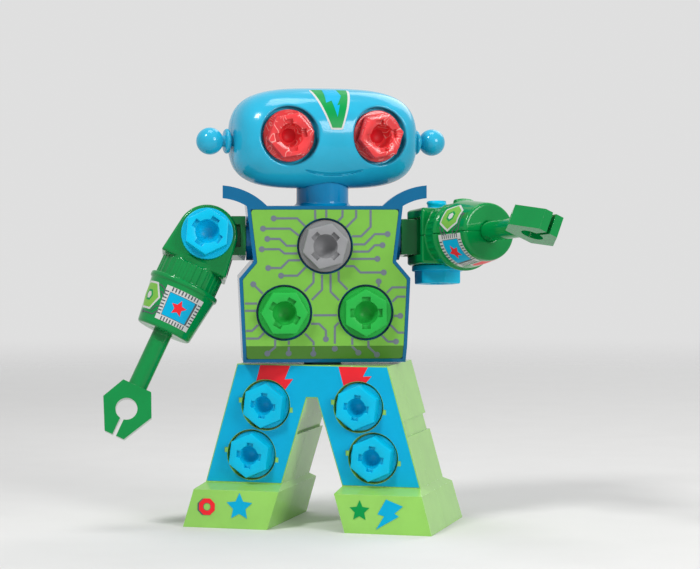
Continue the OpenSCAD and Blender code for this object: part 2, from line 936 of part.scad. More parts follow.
// The ear's stem is clamped between the two shells, with its flange inside
module ear_seat(side) {
    at_ear(side) intersection() {
        pin_x(ear_flange_r + wall, ear_flange_x - wall, head_half);
        translate([0, 0, ear_drop]) head_solid(wall / 2);
    }
}
module ear_bore(side) {
    at_ear(side) {
        pin_x(ear_pin_r + fit_gap, ear_flange_x - 2 * wall, big);
        pin_x(ear_flange_r + fit_gap, ear_flange_x - fit_gap, ear_flange_x + ear_flange_t + fit_gap);
    }
}

module head_holes() {
    pin_z(neck_r + face_gap, -2 * head_r, neck_plate_z - head_z);
    pin_z(neck_pin_r + turn_fit, -2 * head_r, neck_plate_z - head_z + head_plate_t + past);
    for (side = [left, right]) {
        ear_bore(side);
    }
}

// Both shells in one, with the holes that cross their parting plane
module head_body() {
    difference() {
        union() {
            head_skin();
            head_bearing();
            ear_seat(left);
            ear_seat(right);
        }
        head_holes();
    }
}

// The smile is an arc cut into the skin
module smile_groove() {
    middle = [0, smile_r - smile_drop];
    half_angle = asin(smile_half / smile_r);
    outline = concat(
        arc(middle, smile_r, 270 - half_angle, 270 + half_angle, 12),
        arc(middle, smile_r - smile_w, 270 + half_angle, 270 - half_angle, 12)
    );
    difference() {
        front_prism(outline, -2 * head_r, 0);
        head_solid(smile_depth);
    }
}

module head_front_shell() {
    color(SKY) at_head() difference() {
        union() {
            intersection() {
                head_body();
                front_half();
            }
            for (side = [left, right]) {
                intersection() {
                    head_solid(wall / 2);
                    at_eye(side) union() {
                        pin_z(eye_hole_r + wall, -wall, head_r);
                        pin_z(collar_r, -collar_len, past);
                    }
                }
            }
            for (spot = head_screw_spots) {
                translate([spot.x, 0, spot.y]) pin_y(screw_boss_r, -eye_seat + past, 0);
            }
        }
        for (side = [left, right]) {
            at_eye(side) bolt_recess(eye_hole_r, 0);
        }
        for (spot = head_screw_spots) {
            translate([spot.x, 0, spot.y]) screw_tunnel(head_r);
        }
        smile_groove();
    }
}

module head_rear_shell() {
    color(SKY) at_head() difference() {
        union() {
            intersection() {
                head_body();
                rear_half();
            }
            intersection() {
                head_solid(wall / 2);
                for (spot = head_screw_spots) {
                    translate([spot.x, 0, spot.y]) pin_y(screw_boss_r + wall / 2, 0, head_r);
                }
            }
        }
        for (spot = head_screw_spots) {
            translate([spot.x, 0, spot.y]) screw_tunnel(head_screw_seat);
        }
    }
}

module head_screws() {
    color(STEEL) at_head() for (spot = head_screw_spots) {
        translate([spot.x, 0, spot.y]) shell_screw(head_screw_seat);
    }
}

// The sticker on the forehead follows the head's curve
module forehead_sticker() {
    low = 3.7;
    low_half = 2.8;
    high = head_r - 1.2;
    high_half = 10;
    color(GREEN) at_head() intersection() {
        difference() {
            head_solid(-sticker_t);
            head_solid(0);
        }
        front_prism([[low_half, low], [high_half, high], [-high_half, high], [-low_half, low]], -big, 0);
    }
}

module ear_knob(side) {
    color(SKY) at_head() at_ear(side) union() {
        pin_x(ear_flange_r, ear_flange_x, ear_flange_x + ear_flange_t);
        pin_x(ear_pin_r, ear_flange_x + past, ear_reach);
        pin_x(ear_collar_r, ear_collar_x, ear_collar_x + ear_collar_t);
        translate([ear_reach, 0, 0]) sphere(r = ear_r);
    }
}
module ear_knob_left() {
    ear_knob(left);
}
module ear_knob_right() {
    ear_knob(right);
}

module eye_bolt(side) {
    color("tomato") at_head() at_eye(side) translate([0, 0, seat_gap]) bolt(10);
}
module eye_bolt_left() {
    eye_bolt(left);
}
module eye_bolt_right() {
    eye_bolt(right);
}

// Shoulders, drawn for the right side about the arm's hinge, with the torso towards -X
shoulder_screw_len = 14;

module shoulder_bar(side) {
    start = bar_start - shoulder_x;
    end = pin_end - shoulder_x;
    window_len = -start - fork_r + window_sunk;
    window_h = bar_h - 2 * window_rim;
    color(GREEN) at_shoulder(side) difference() {
        union() {
            translate([start, -bar_d / 2, -bar_h / 2]) cube([-start, bar_d, bar_h]);
            pin_y(bar_h / 2, -bar_d / 2, bar_d / 2);
            pin_x(shoulder_pin_r, end, start + past);
        }
        for (face = [-1, 1]) {
            translate([start + wall + window_len / 2, face * bar_d / 2, 0])
                cube([window_len, bar_d / 2, window_h], center = true);
        }
        pin_y(shank_hole_r, -bar_d, bar_d);
        pin_x(end_screw_hole_r, end - past, end + shoulder_screw_len);
    }
}
module shoulder_washer(side) {
    end = pin_end - shoulder_x;
    color(STEEL) at_shoulder(side) difference() {
        pin_x(shoulder_washer_r, end - washer_t, end);
        pin_x(end_screw_hole_r, end - washer_t - past, end + past);
    }
}
module shoulder_screw(side) {
    color(STEEL) at_shoulder(side) translate([pin_end - shoulder_x - washer_t, 0, 0]) rotate([0, -90, 0])
        end_screw(shoulder_screw_len);
}

// Arms, hanging down -Z from the hinge with the bolt's head in front

// Where a line from a corner just touches a circle about the hinge, as an angle
function touch(corner, r) = atan2(corner.y, corner.x) + acos(r / norm(corner));

module fork_outline() {
    corner = [fork_half, -fork_corner];
    edge = fork_r * [cos(touch(corner, fork_r)), sin(touch(corner, fork_r))];
    circle(r = fork_r);
    polygon([corner, edge, [-edge.x, edge.y], [-corner.x, corner.y]]);
}

module cuff_shape() {
    rotate_extrude() polygon([
        [0, -cuff_end], [cuff_end_r - cuff_round, -cuff_end], [cuff_end_r, cuff_round - cuff_end],
        [cuff_r, -cuff_top - cuff_lip_h - cuff_lip_slope], [lip_r, -cuff_top - cuff_lip_h],
        [lip_r, -cuff_top], [0, -cuff_top]
    ]);
}

module arm_solid() {
    hollow_r = arm_neck_r - 2 * wall;
    difference() {
        union() {
            rotate([90, 0, 0]) linear_extrude(2 * fork_out, center = true) fork_outline();
            pin_z(arm_neck_r, -cuff_top - past, -fork_floor - past / 2);
            cuff_shape();
        }
        translate([-big, -fork_in, -fork_floor]) cube([2 * big, 2 * fork_in, big]);
        pin_z(hollow_r, -grip_top + wall, -fork_floor - fork_floor_t);
        pin_z(rod_r + turn_fit, -cuff_end - past, -grip_top);
        pin_z(grip_flange_r + face_gap, -grip_top - grip_flange_t - face_gap, face_gap - grip_top);
        pin_y(shank_hole_r, -big, big);
    }
}

arm_screw_x = 7.4;
arm_screw_drop = 1.6;
arm_screw_spots = [for (s = [left, right]) [s * arm_screw_x, -cuff_top - arm_screw_drop]];

module arm_front_shell(side) {
    color(GREEN) at_arm(side) difference() {
        union() {
            intersection() {
                arm_solid();
                front_half();
            }
            for (spot = arm_screw_spots) {
                translate([spot.x, 0, spot.y]) pin_y(screw_boss_r, -arm_neck_r + 2 * wall, 0);
            }
        }
        for (spot = arm_screw_spots) {
            translate([spot.x, 0, spot.y]) screw_tunnel(arm_neck_r);
        }
    }
}
module arm_rear_shell(side) {
    color(GREEN) at_arm(side) difference() {
        union() {
            intersection() {
                arm_solid();
                rear_half();
            }
            for (spot = arm_screw_spots) {
                translate([spot.x, 0, spot.y]) pin_y(screw_boss_r + wall / 2, 0, arm_neck_r - 2 * wall);
            }
        }
        for (spot = arm_screw_spots) {
            translate([spot.x, 0, spot.y]) screw_tunnel(arm_neck_r - 3 * wall);
        }
    }
}
module arm_screws(side) {
    color(STEEL) at_arm(side) for (spot = arm_screw_spots) {
        translate([spot.x, 0, spot.y]) shell_screw(arm_neck_r - 3 * wall);
    }
}

module arm_bolt(side, spin) {
    color(SKY) at_arm(side) rotate([90, 0, 0]) translate([0, 0, fork_out + seat_gap]) bolt(spin);
}

// The printed sticker round part of the cuff
module cuff_sticker(side) {
    cone_z = -cuff_top - cuff_lip_h - cuff_lip_slope;
    from_z = cone_z - cuff_lip_slope;
    to_z = 2 * cuff_round - cuff_end;
    slope = (cuff_r - cuff_end_r) / (cuff_end + cone_z - cuff_round);
    from_r = cuff_r + slope * (from_z - cone_z);
    to_r = cuff_r + slope * (to_z - cone_z);
    start = side == left ? -167 : -110;
    sweep = 150;
    color("white") at_arm(side) rotate([0, 0, start]) rotate_extrude(angle = sweep) polygon([
        [from_r, from_z], [to_r, to_z], [to_r + sticker_t, to_z], [from_r + sticker_t, from_z]
    ]);
}

module claw(side) {
    middle = rod_end + claw_wide_at;
    wrist = side == left ? left_wrist : right_wrist;
    color(GREEN) at_arm(side) rotate([0, 0, wrist]) difference() {
        union() {
            pin_z(rod_r, -rod_end - past, -grip_top);
            pin_z(grip_flange_r, -grip_top - grip_flange_t, -grip_top);
            front_prism([
                [claw_root_half, -rod_end], [-claw_root_half, -rod_end], [-claw_half, -middle],
                [-claw_tip_half, -claw_end], [claw_tip_half, -claw_end], [claw_half, -middle]
            ], -claw_t / 2, claw_t / 2);
        }
        translate([0, 0, -claw_hole_z]) pin_y(claw_hole_r, -claw_t, claw_t);
        translate([-claw_mouth / 2, -claw_t, -claw_end - past])
            cube([claw_mouth, 2 * claw_t, claw_end - claw_hole_z]);
        translate([0, -rod_r, -cuff_end - notch_h])
            cube([1.5 * rod_r, 2 * notch_depth, notch_h], center = true);
    }
}

module shoulder_bar_left() {
    shoulder_bar(left);
}
module shoulder_washer_left() {
    shoulder_washer(left);
}
module shoulder_screw_left() {
    shoulder_screw(left);
}
module arm_front_shell_left() {
    arm_front_shell(left);
}
module arm_rear_shell_left() {
    arm_rear_shell(left);
}
module arm_screws_left() {
    arm_screws(left);
}
module arm_bolt_left() {
    arm_bolt(left, 10);
}
module cuff_sticker_left() {
    cuff_sticker(left);
}
module claw_left() {
    claw(left);
}
module shoulder_bar_right() {
    shoulder_bar(right);
}
module shoulder_washer_right() {
    shoulder_washer(right);
}
module shoulder_screw_right() {
    shoulder_screw(right);
}
module arm_front_shell_right() {
    arm_front_shell(right);
}
module arm_rear_shell_right() {
    arm_rear_shell(right);
}
module arm_screws_right() {
    arm_screws(right);
}
module arm_bolt_right() {
    arm_bolt(right, 40);
}
module cuff_sticker_right() {
    cuff_sticker(right);
}
module claw_right() {
    claw(right);
}

leg_front_shell();
leg_rear_shell();
leg_screws();
leg_sticker();
foot_stickers();
leg_bolt_upper_left();
leg_bolt_upper_right();
leg_bolt_lower_left();
leg_bolt_lower_right();
torso_front_shell();
torso_rear_shell();
torso_screws();
chest_panel();
chest_bolt_top();
chest_bolt_left();
chest_bolt_right();
waist_pin();
waist_washer();
waist_screw();
neck_post();
neck_washer();
neck_screw();
head_front_shell();
head_rear_shell();
head_screws();
forehead_sticker();
ear_knob_left();
ear_knob_right();
eye_bolt_left();
eye_bolt_right();
shoulder_bar_left();
shoulder_washer_left();
shoulder_screw_left();
arm_front_shell_left();
arm_rear_shell_left();
arm_screws_left();
arm_bolt_left();
cuff_sticker_left();
claw_left();
shoulder_bar_right();
shoulder_washer_right();
shoulder_screw_right();
arm_front_shell_right();
arm_rear_shell_right();
arm_screws_right();
arm_bolt_right();
cuff_sticker_right();
claw_right();
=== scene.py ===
"""A toy robot on splayed legs, held together by big toy bolts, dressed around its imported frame.

Sizes are in millimetres and angles in degrees. A mesh is written in metres when it is made. Each
sub-assembly is a class that builds its own pieces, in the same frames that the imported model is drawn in.
"""

import functools
import logging
import math
from dataclasses import dataclass, field, replace
from enum import Enum
from typing import Callable, Sequence

import bmesh
import bpy
import numpy as np
from mathutils import Matrix, Vector
from mathutils.geometry import delaunay_2d_cdt


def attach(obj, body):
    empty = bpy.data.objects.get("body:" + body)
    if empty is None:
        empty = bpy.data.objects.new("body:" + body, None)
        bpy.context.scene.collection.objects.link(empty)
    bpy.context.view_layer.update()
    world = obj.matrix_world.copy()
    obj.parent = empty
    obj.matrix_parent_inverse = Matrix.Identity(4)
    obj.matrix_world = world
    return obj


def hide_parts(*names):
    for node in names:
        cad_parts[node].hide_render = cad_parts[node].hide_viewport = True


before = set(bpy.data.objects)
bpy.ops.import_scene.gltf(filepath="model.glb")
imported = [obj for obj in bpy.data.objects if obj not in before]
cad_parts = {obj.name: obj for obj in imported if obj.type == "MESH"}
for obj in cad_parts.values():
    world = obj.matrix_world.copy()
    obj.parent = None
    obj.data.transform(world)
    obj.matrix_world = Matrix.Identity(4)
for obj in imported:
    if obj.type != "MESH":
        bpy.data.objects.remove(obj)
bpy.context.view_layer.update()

MM = 0.001
TINY = 1e-5
log = logging.getLogger("toy_robot")

Pair = tuple[float, float]
Triple = tuple[float, float, float]
Point = Sequence[float]
Points = Sequence[Point]
Outline = list[Pair]
Ease = tuple[Pair, ...]
Colour = tuple[float, float, float, float]
SurfaceMap = Callable[[np.ndarray], np.ndarray]


def linear(red: int, green: int, blue: int) -> Colour:
    """Scene-linear colour of an sRGB colour given in bytes."""
    parts = [c / 255 for c in (red, green, blue)]
    return (*[c / 12.92 if c <= 0.04045 else ((c + 0.055) / 1.055) ** 2.4 for c in parts], 1.0)


def dimmed(colour: Colour, share: float) -> Colour:
    """A colour brought down to a share of its light."""
    return (*[c * share for c in colour[:3]], 1.0)


class Side(Enum):
    """The robot's sides as seen from in front. The value is the sign of X."""

    LEFT = -1
    RIGHT = 1

    @property
    def word(self) -> str:
        """The side's name as it stands in node names."""
        return self.name.lower()


class Ink(Enum):
    """Colours of the mouldings and of the print; a few are lighter or darker copies of others, which paint
    light or shade.
    """

    LIME = linear(148, 208, 94)
    CHEST_LIME = linear(122, 185, 74)
    # Painted shade: the bent strip under the chest is darkened because it faces downward.
    STRIP_LIME = linear(82, 132, 52)
    BLUE = linear(0, 100, 146)
    # Painted light: the torso's blue plastic as lit from above, a lighter copy for the neck.
    NECK_BLUE = linear(0, 142, 196)
    SKY = linear(34, 174, 210)
    CYAN = linear(0, 188, 228)
    LABEL_BLUE = linear(0, 172, 216)
    GREEN = linear(0, 138, 66)
    BOLT_GREEN = linear(40, 178, 72)
    BOLT_GREY = linear(146, 146, 148)
    RED = linear(240, 42, 52)
    EYE_RED = linear(250, 68, 72)
    # Painted shade: a darker red for the bottom of the eye bolts' sockets.
    SOCKET_RED = linear(200, 18, 32)
    TRACE_GREY = linear(112, 120, 132)
    PALE_GREY = linear(206, 206, 204)
    DARK_GREY = linear(84, 92, 96)
    DARK_GREEN = linear(0, 150, 72)
    STEEL = linear(176, 178, 182)
    NYLON = linear(226, 224, 214)


@dataclass(frozen=True)
class Sock:
    """A node's output that takes part in Python arithmetic, where each step adds a Math node."""

    graph: "Graph"
    out: bpy.types.NodeSocket

    def _math(self, operation: str, first: "Sock | float", second: "Sock | float") -> "Sock":
        """One Math node on two values."""
        return self.graph.add("ShaderNodeMath", {"operation": operation}, {0: first, 1: second})

    def __add__(self, other: "Sock | float") -> "Sock":
        """This value plus another."""
        return self._math("ADD", self, other)

    def __sub__(self, other: "Sock | float") -> "Sock":
        """This value less another."""
        return self._math("SUBTRACT", self, other)

    def __rsub__(self, other: float) -> "Sock":
        """A number less this value."""
        return self._math("SUBTRACT", other, self)

    def __mul__(self, other: "Sock | float") -> "Sock":
        """This value times another."""
        return self._math("MULTIPLY", self, other)

    __radd__ = __add__
    __rmul__ = __mul__

    def over(self, low: float, high: float) -> "Sock":
        """Nought below low and one above high, with a soft step between them."""
        sockets = {"Value": self, "From Min": low, "From Max": high}
        return self.graph.add("ShaderNodeMapRange", {"interpolation_type": "SMOOTHSTEP"}, sockets)


class Graph:
    """A node tree that is filled by one method."""

    def __init__(self, tree: bpy.types.NodeTree) -> None:
        """Takes over a tree, which is emptied."""
        self.tree = tree
        tree.nodes.clear()

    def node(self, kind: str, settings: dict | None = None, sockets: dict | None = None) -> bpy.types.Node:
        """Adds any node.

        Args:
            kind: the node's type.
            settings: its own properties, set first.
            sockets: values or links of its inputs, by name or number; a list links several to one.

        Returns:
            The node.
        """
        node = self.tree.nodes.new(kind)
        for name, value in (settings or {}).items():
            setattr(node, name, value)
        for name, value in (sockets or {}).items():
            for part in value if isinstance(value, list) else [value]:
                if isinstance(part, Sock):
                    self.tree.links.new(part.out, node.inputs[name])
                else:
                    node.inputs[name].default_value = part
        return node

    def add(
        self, kind: str, settings: dict | None = None, sockets: dict | None = None, out: int | str = 0
    ) -> Sock:
        """Adds a node as node() does, and gives one of its outputs, by name or number."""
        return Sock(self, self.node(kind, settings, sockets).outputs[out])

    def place(self) -> Sock:
        """The object's own coordinates, in metres."""
        return self.add("ShaderNodeTexCoord", None, None, "Object")

    def blend(self, mask: "Sock | float", below: "Sock | Colour", above: "Sock | Colour") -> Sock:
        """A colour that goes from one to another as a mask goes from nought to one."""
        return self.add("ShaderNodeMix", {"data_type": "RGBA"}, {0: mask, 6: below, 7: above}, 2)

    def noise(self, place: Sock, scale: float, detail: float = 2.0, rough: float = 0.5) -> Sock:
        """Noise at a place, with the given number of blots to a metre."""
        sockets = {"Vector": place, "Scale": scale, "Detail": detail, "Roughness": rough}
        return self.add("ShaderNodeTexNoise", None, sockets)

    def bump(self, height: Sock, strength: float, depth: float) -> Sock:
        """A normal that follows a height, whose depth is given in millimetres."""
        sockets = {"Strength": strength, "Distance": depth * MM, "Height": height}
        return self.add("ShaderNodeBump", None, sockets)


class Finish:
    """What every finish does: it makes its material once."""

    name: str
    slot: str = ""

    def inputs(self, graph: Graph) -> dict:
        """The shader's inputs, which each finish gives in its own way."""
        raise NotImplementedError(self.name)

    @functools.cache
    def material(self) -> bpy.types.Material:
        """The material, with a Principled shader that inputs() feeds.

        Returns:
            The same material on each call.
        """
        made = bpy.data.materials.new(self.name)
        made.use_nodes = True
        graph = Graph(made.node_tree)
        shader = graph.add("ShaderNodeBsdfPrincipled", None, self.inputs(graph))
        graph.node("ShaderNodeOutputMaterial", None, {"Surface": shader})
        return made


@dataclass(frozen=True)
class MouldedPlastic(Finish):
    """Glossy moulded plastic: faint clouds, orange peel, hair scratches, and edges rubbed a little paler."""

    name: str
    ink: Ink
    roughness: float = 0.2
    coat: float = 0.35
    gloss: float = 0.2
    peel: float = 0.006
    peel_scale: float = 900.0
    cloud_scale: float = 55.0
    hair_scale: float = 340.0
    hair_stretch: float = 14.0
    wear_scale: float = 260.0
    wear: float = 0.4
    slot: str = ""

    def inputs(self, graph: Graph) -> dict:
        """Works out colour, roughness and bump.

        Args:
            graph: the material's graph.

        Returns:
            Values or links of the shader's inputs.
        """
        place = graph.place()
        cloud = graph.noise(place, self.cloud_scale, 3.0, 0.6)
        stretch = (1.0, 1.0, self.hair_stretch)
        stretched = graph.add("ShaderNodeMapping", None, {"Vector": place, "Scale": stretch})
        hairs = graph.noise(stretched, self.hair_scale, 4.0, 0.7).over(0.6, 0.78)
        edge = graph.add("ShaderNodeAttribute", {"attribute_name": "edge"}, None, "Fac")
        rubbed = edge * graph.noise(place, self.wear_scale, 3.0, 0.65).over(0.42, 0.66)
        colour = self.ink.value
        pale = (*[c + 0.3 * (0.9 - c) for c in colour[:3]], 1.0)
        base = graph.blend(cloud.over(0.3, 0.72), dimmed(colour, 0.9), colour)
        return {
            "Base Color": graph.blend(rubbed * self.wear, base, pale),
            "Roughness": self.roughness + 0.04 * cloud + 0.03 * hairs + 0.12 * rubbed,
            "Coat Weight": self.coat,
            "Coat Roughness": 0.06,
            "Specular IOR Level": self.gloss,
            "Normal": graph.bump(graph.noise(place, self.peel_scale), 0.25, self.peel),
        }


@dataclass(frozen=True)
class ClearPlastic(Finish):
    """Tinted clear plastic with swirling moulding marks inside it, in a pale colour that partly paints glints
    of light on them.
    """

    name: str
    ink: Ink
    # The marks' pale colour is partly a painted highlight: real swirl marks, drawn as light glinting on them.
    mark: Colour = (1.0, 0.52, 0.48, 1.0)
    swirl_scale: float = 130.0
    folds: float = 11.0
    patch_scale: float = 210.0

    def inputs(self, graph: Graph) -> dict:
        """Works out colour, roughness and bump from one swirl.

        Args:
            graph: the material's graph.

        Returns:
            Values or links of the shader's inputs.
        """
        place = graph.place()
        swirl = graph.noise(place, self.swirl_scale, 1.0, 0.4)
        folded = graph.add("ShaderNodeMath", {"operation": "PINGPONG"}, {0: swirl * self.folds, 1: 0.5})
        patches = graph.noise(place, self.patch_scale, 0.0).over(0.44, 0.6)
        flow_glint = (1.0 - folded.over(0.0, 0.14)) * patches
        colour = self.ink.value
        base = graph.blend(swirl.over(0.35, 0.7), dimmed(colour, 0.82), colour)
        return {
            # Pale swirl marks: real marks in the plastic, painted as light glinting on them.
            "Base Color": graph.blend(flow_glint * 0.8, base, self.mark),
            "Roughness": 0.1 + 0.14 * swirl,
            "Transmission Weight": 0.1,
            "Specular IOR Level": 0.3,
            "Subsurface Weight": 0.3,
            "Subsurface Radius": (1.0, 0.2, 0.15),
            "Subsurface Scale": 0.003,
            "IOR": 1.49,
            "Coat Weight": 0.25,
            "Coat Roughness": 0.05,
            "Normal": graph.bump(swirl, 0.3, 0.05),
        }


@dataclass(frozen=True)
class PrintedInk(Finish):
    """Print under a clear film: dots of ink, a slight lay of the film and dull rubs."""

    name: str
    ink: Ink
    roughness: float = 0.3
    dot_scale: float = 3200.0
    lay_scale: float = 120.0
    rub_scale: float = 420.0
    slot: str = "printed_sticker"

    def inputs(self, graph: Graph) -> dict:
        """Works out colour, roughness and bump.

        Args:
            graph: the material's graph.

        Returns:
            Values or links of the shader's inputs.
        """
        place = graph.place()
        sockets = {"Vector": place, "Scale": self.dot_scale}
        dots = graph.add("ShaderNodeTexVoronoi", {"feature": "F1"}, sockets)
        uneven = graph.noise(place, self.lay_scale, 4.0, 0.6)
        rubs = graph.noise(place, self.rub_scale, 3.0, 0.7).over(0.58, 0.74)
        colour = self.ink.value
        spread = 0.5 * dots + 0.5 * uneven.over(0.3, 0.7)
        return {
            "Base Color": graph.blend(spread, colour, dimmed(colour, 0.9)),
            "Roughness": self.roughness + 0.1 * uneven + 0.15 * rubs,
            "Specular IOR Level": 0.15,
            "Normal": graph.bump(uneven, 0.2, 0.02),
        }


@dataclass(frozen=True)
class ScrewSteel(Finish):
    """Zinc-plated steel with a fine turned grain."""

    name: str
    grain_scale: float = 2600.0
    stain_scale: float = 240.0

    def inputs(self, graph: Graph) -> dict:
        """Works out colour, roughness and bump.

        Args:
            graph: the material's graph.

        Returns:
            Values or links of the shader's inputs.
        """
        place = graph.place()
        grain = graph.noise(place, self.grain_scale)
        stain = graph.noise(place, self.stain_scale, 4.0, 0.6)
        colour = Ink.STEEL.value
        return {
            "Base Color": graph.blend(stain.over(0.35, 0.7), dimmed(colour, 0.72), colour),
            "Metallic": 1.0,
            "Roughness": 0.28 + 0.16 * grain,
            "Normal": graph.bump(grain, 0.3, 0.02),
        }


LIME_PLASTIC = MouldedPlastic("lime_plastic", Ink.LIME, 0.18, 0.4)
CHEST_LIME = PrintedInk("chest_lime_print", Ink.CHEST_LIME, slot="lime_plastic")
# Painted shade: a darker print for the bent strip, standing for the shade on its downward face.
CHEST_STRIP_SHADE = PrintedInk("chest_strip_print", Ink.STRIP_LIME)
BLUE_PLASTIC = MouldedPlastic("blue_plastic", Ink.BLUE, 0.16, 0.3, 0.12)
# Painted light: a lighter copy of the blue plastic for the neck, standing for light falling on it.
LIT_NECK_PLASTIC = MouldedPlastic("neck_blue_plastic", Ink.NECK_BLUE, 0.16, 0.3, 0.12, slot="blue_plastic")
SKY_PLASTIC = MouldedPlastic("sky_plastic", Ink.SKY, 0.16, 0.3)
GREEN_PLASTIC = MouldedPlastic("green_plastic", Ink.GREEN, 0.14, 0.35, 0.1)
CYAN_BOLT = MouldedPlastic("cyan_bolt_plastic", Ink.CYAN, 0.32, 0.0)
GREEN_BOLT = MouldedPlastic("green_bolt_plastic", Ink.BOLT_GREEN, 0.32, 0.0)
GREY_BOLT = MouldedPlastic("grey_bolt_plastic", Ink.BOLT_GREY, 0.34, 0.0)
NYLON = MouldedPlastic("nylon", Ink.NYLON, 0.4, 0.0)
RED_CLEAR = ClearPlastic("red_clear_plastic", Ink.EYE_RED)
# Painted shade: a darker, matte red for the bottom of the eye bolts' sockets.
RED_SOCKET_SHADE = MouldedPlastic("red_clear_socket", Ink.SOCKET_RED, 0.45, 0.0)
BLUE_PRINT = PrintedInk("label_blue", Ink.LABEL_BLUE)
RED_PRINT = PrintedInk("label_red", Ink.RED)
GREEN_PRINT = PrintedInk("label_green", Ink.DARK_GREEN)
LIME_PRINT = PrintedInk("label_lime", Ink.CHEST_LIME)
PALE_PRINT = PrintedInk("label_pale_grey", Ink.PALE_GREY)
GREY_PRINT = PrintedInk("label_dark_grey", Ink.DARK_GREY)
TRACE_PRINT = PrintedInk("trace_grey", Ink.TRACE_GREY)
STEEL = ScrewSteel("screw_steel")


def turned(axis: str, angle: float) -> Matrix:
    """A turn about an axis, in degrees."""
    return Matrix.Rotation(math.radians(angle), 4, axis)


def moved(x: float, y: float, z: float) -> Matrix:
    """A move, in millimetres."""
    return Matrix.Translation((x, y, z))


@dataclass(frozen=True)
class Stance:
    """The frames that the robot is drawn in: its pose and the places of its joints."""

    waist_turn: float = 19.0
    neck_turn: float = 13.5
    turns: Pair = (-10.0, 85.0)
    swings: Pair = (25.0, 157.0)
    shoulder_x: float = 55.0
    shoulder_z: float = 136.5
    head_z: float = 183.9

    def torso(self) -> Matrix:
        """The torso's frame, on the floor below it."""
        return turned("Z", self.waist_turn)

    def head(self) -> Matrix:
        """The head's frame, at its middle."""
        return self.torso() @ moved(0, 0, self.head_z) @ turned("Z", self.neck_turn)

    def shoulder(self, side: Side) -> Matrix:
        """A shoulder's frame, at the arm's hinge, with the torso towards -X."""
        seat = moved(self.shoulder_x, 0, self.shoulder_z) @ turned("X", self.turns[side is Side.RIGHT])
        return self.torso() @ Matrix.Diagonal((side.value, 1, 1, 1)) @ seat

    def arm(self, side: Side) -> Matrix:
        """An arm's frame, at its hinge, with the arm down -Z and its bolt's head towards -Y."""
        return self.shoulder(side) @ turned("Y", -self.swings[side is Side.RIGHT])


STANCE = Stance()
FLASH = ((-0.2, 0.9), (-0.72, -0.02), (-0.3, -0.12), (-0.8, -0.95), (0.62, -0.12), (0.34, 0.06), (0.86, 0.5))


def corners_of(outline: Points) -> list[tuple[Vector, Vector, Vector]]:
    """Each corner of an outline, between the one before it and the one after it."""
    corners = [Vector(p) for p in outline]
    return list(zip(corners[-1:] + corners[:-1], corners, corners[1:] + corners[:1]))


def inset(outline: Points, depth: float) -> Outline:
    """An outline drawn in by a depth, or drawn out by a negative one.

    Args:
        outline: corners, anticlockwise.
        depth: distance that each side moves in.

    Returns:
        As many corners as the outline has.
    """
    moved_in = []
    for before, here, after in corners_of(outline):
        first, second = (here - before).normalized(), (after - here).normalized()
        left, right = Vector((-first.y, first.x)), Vector((-second.y, second.x))
        moved_in.append(tuple(here + depth * (left + right) / (1 + left.dot(right))))
    return moved_in


def rounded(outline: Points, radius: float, steps: int = 4, most: float = 0.45) -> Outline:
    """An outline with an arc at each corner.

    Args:
        outline: corners, anticlockwise.
        radius: radius of the arcs.
        steps: points on each arc, less one.
        most: the share of a side that an arc may take.

    Returns:
        The points of all arcs.
    """
    made = []
    for before, here, after in corners_of(outline):
        back, on = before - here, after - here
        half = back.angle(on) / 2
        reach = min(radius / math.tan(half), most * back.length, most * on.length)
        start, end = here + back.normalized() * reach, here + on.normalized() * reach
        for t in np.linspace(0, 1, steps + 1).tolist():
            made.append(tuple((1 - t) ** 2 * start + 2 * t * (1 - t) * here + t * t * end))
    return made


def arc(radius: float, start: float, end: float, count: int, middle: Point = (0.0, 0.0)) -> Outline:
    """Points along an arc from one angle to another, in degrees, with both ends among them."""
    angles = np.radians(np.linspace(start, end, count))
    return [(middle[0] + radius * math.cos(a), middle[1] + radius * math.sin(a)) for a in angles]


def circle(radius: float, count: int = 48, middle: Point = (0.0, 0.0), start: float = 0.0) -> Outline:
    """Points round a circle, anticlockwise."""
    return arc(radius, start, start + 360 - 360 / count, count, middle)


def spun(outline: Points, angle: float) -> Outline:
    """Flat points turned about the origin, in degrees."""
    cos, sin = math.cos(math.radians(angle)), math.sin(math.radians(angle))
    return [(x * cos - y * sin, x * sin + y * cos) for x, y in outline]


def lifted(outline: Points, height: float) -> list[Triple]:
    """Flat points at a height."""
    return [(x, y, height) for x, y in outline]


def mirrored(spots: Points) -> Outline:
    """Spots given for the right, first as they lie on the left and then as they are."""
    return [(side.value * x, z) for side in Side for x, z in spots]


def star(radius: float, middle: Point, turn: float = 0.0) -> Outline:
    """A five-pointed star, anticlockwise, with a point up before it is turned."""
    tips, hollows = circle(radius, 5, middle, 90 + turn), circle(0.48 * radius, 5, middle, 126 + turn)
    return [point for pair in zip(tips, hollows) for point in pair]


def lightning(size: float, middle: Point) -> Outline:
    """A flash of lightning, anticlockwise."""
    return [(middle[0] + size * x, middle[1] + size * y) for x, y in FLASH]


def split(outline: Points, spacing: float) -> Outline:
    """An outline with points added along its sides.

    Args:
        outline: the corners.
        spacing: the longest step from point to point.

    Returns:
        The corners and the points between them.
    """
    points = []
    for a, b in zip(outline, [*outline[1:], outline[0]]):
        parts = max(1, math.ceil(math.dist(a, b) / spacing))
        shares = [k / parts for k in range(parts)]
        points += [(a[0] + (b[0] - a[0]) * t, a[1] + (b[1] - a[1]) * t) for t in shares]
    return points


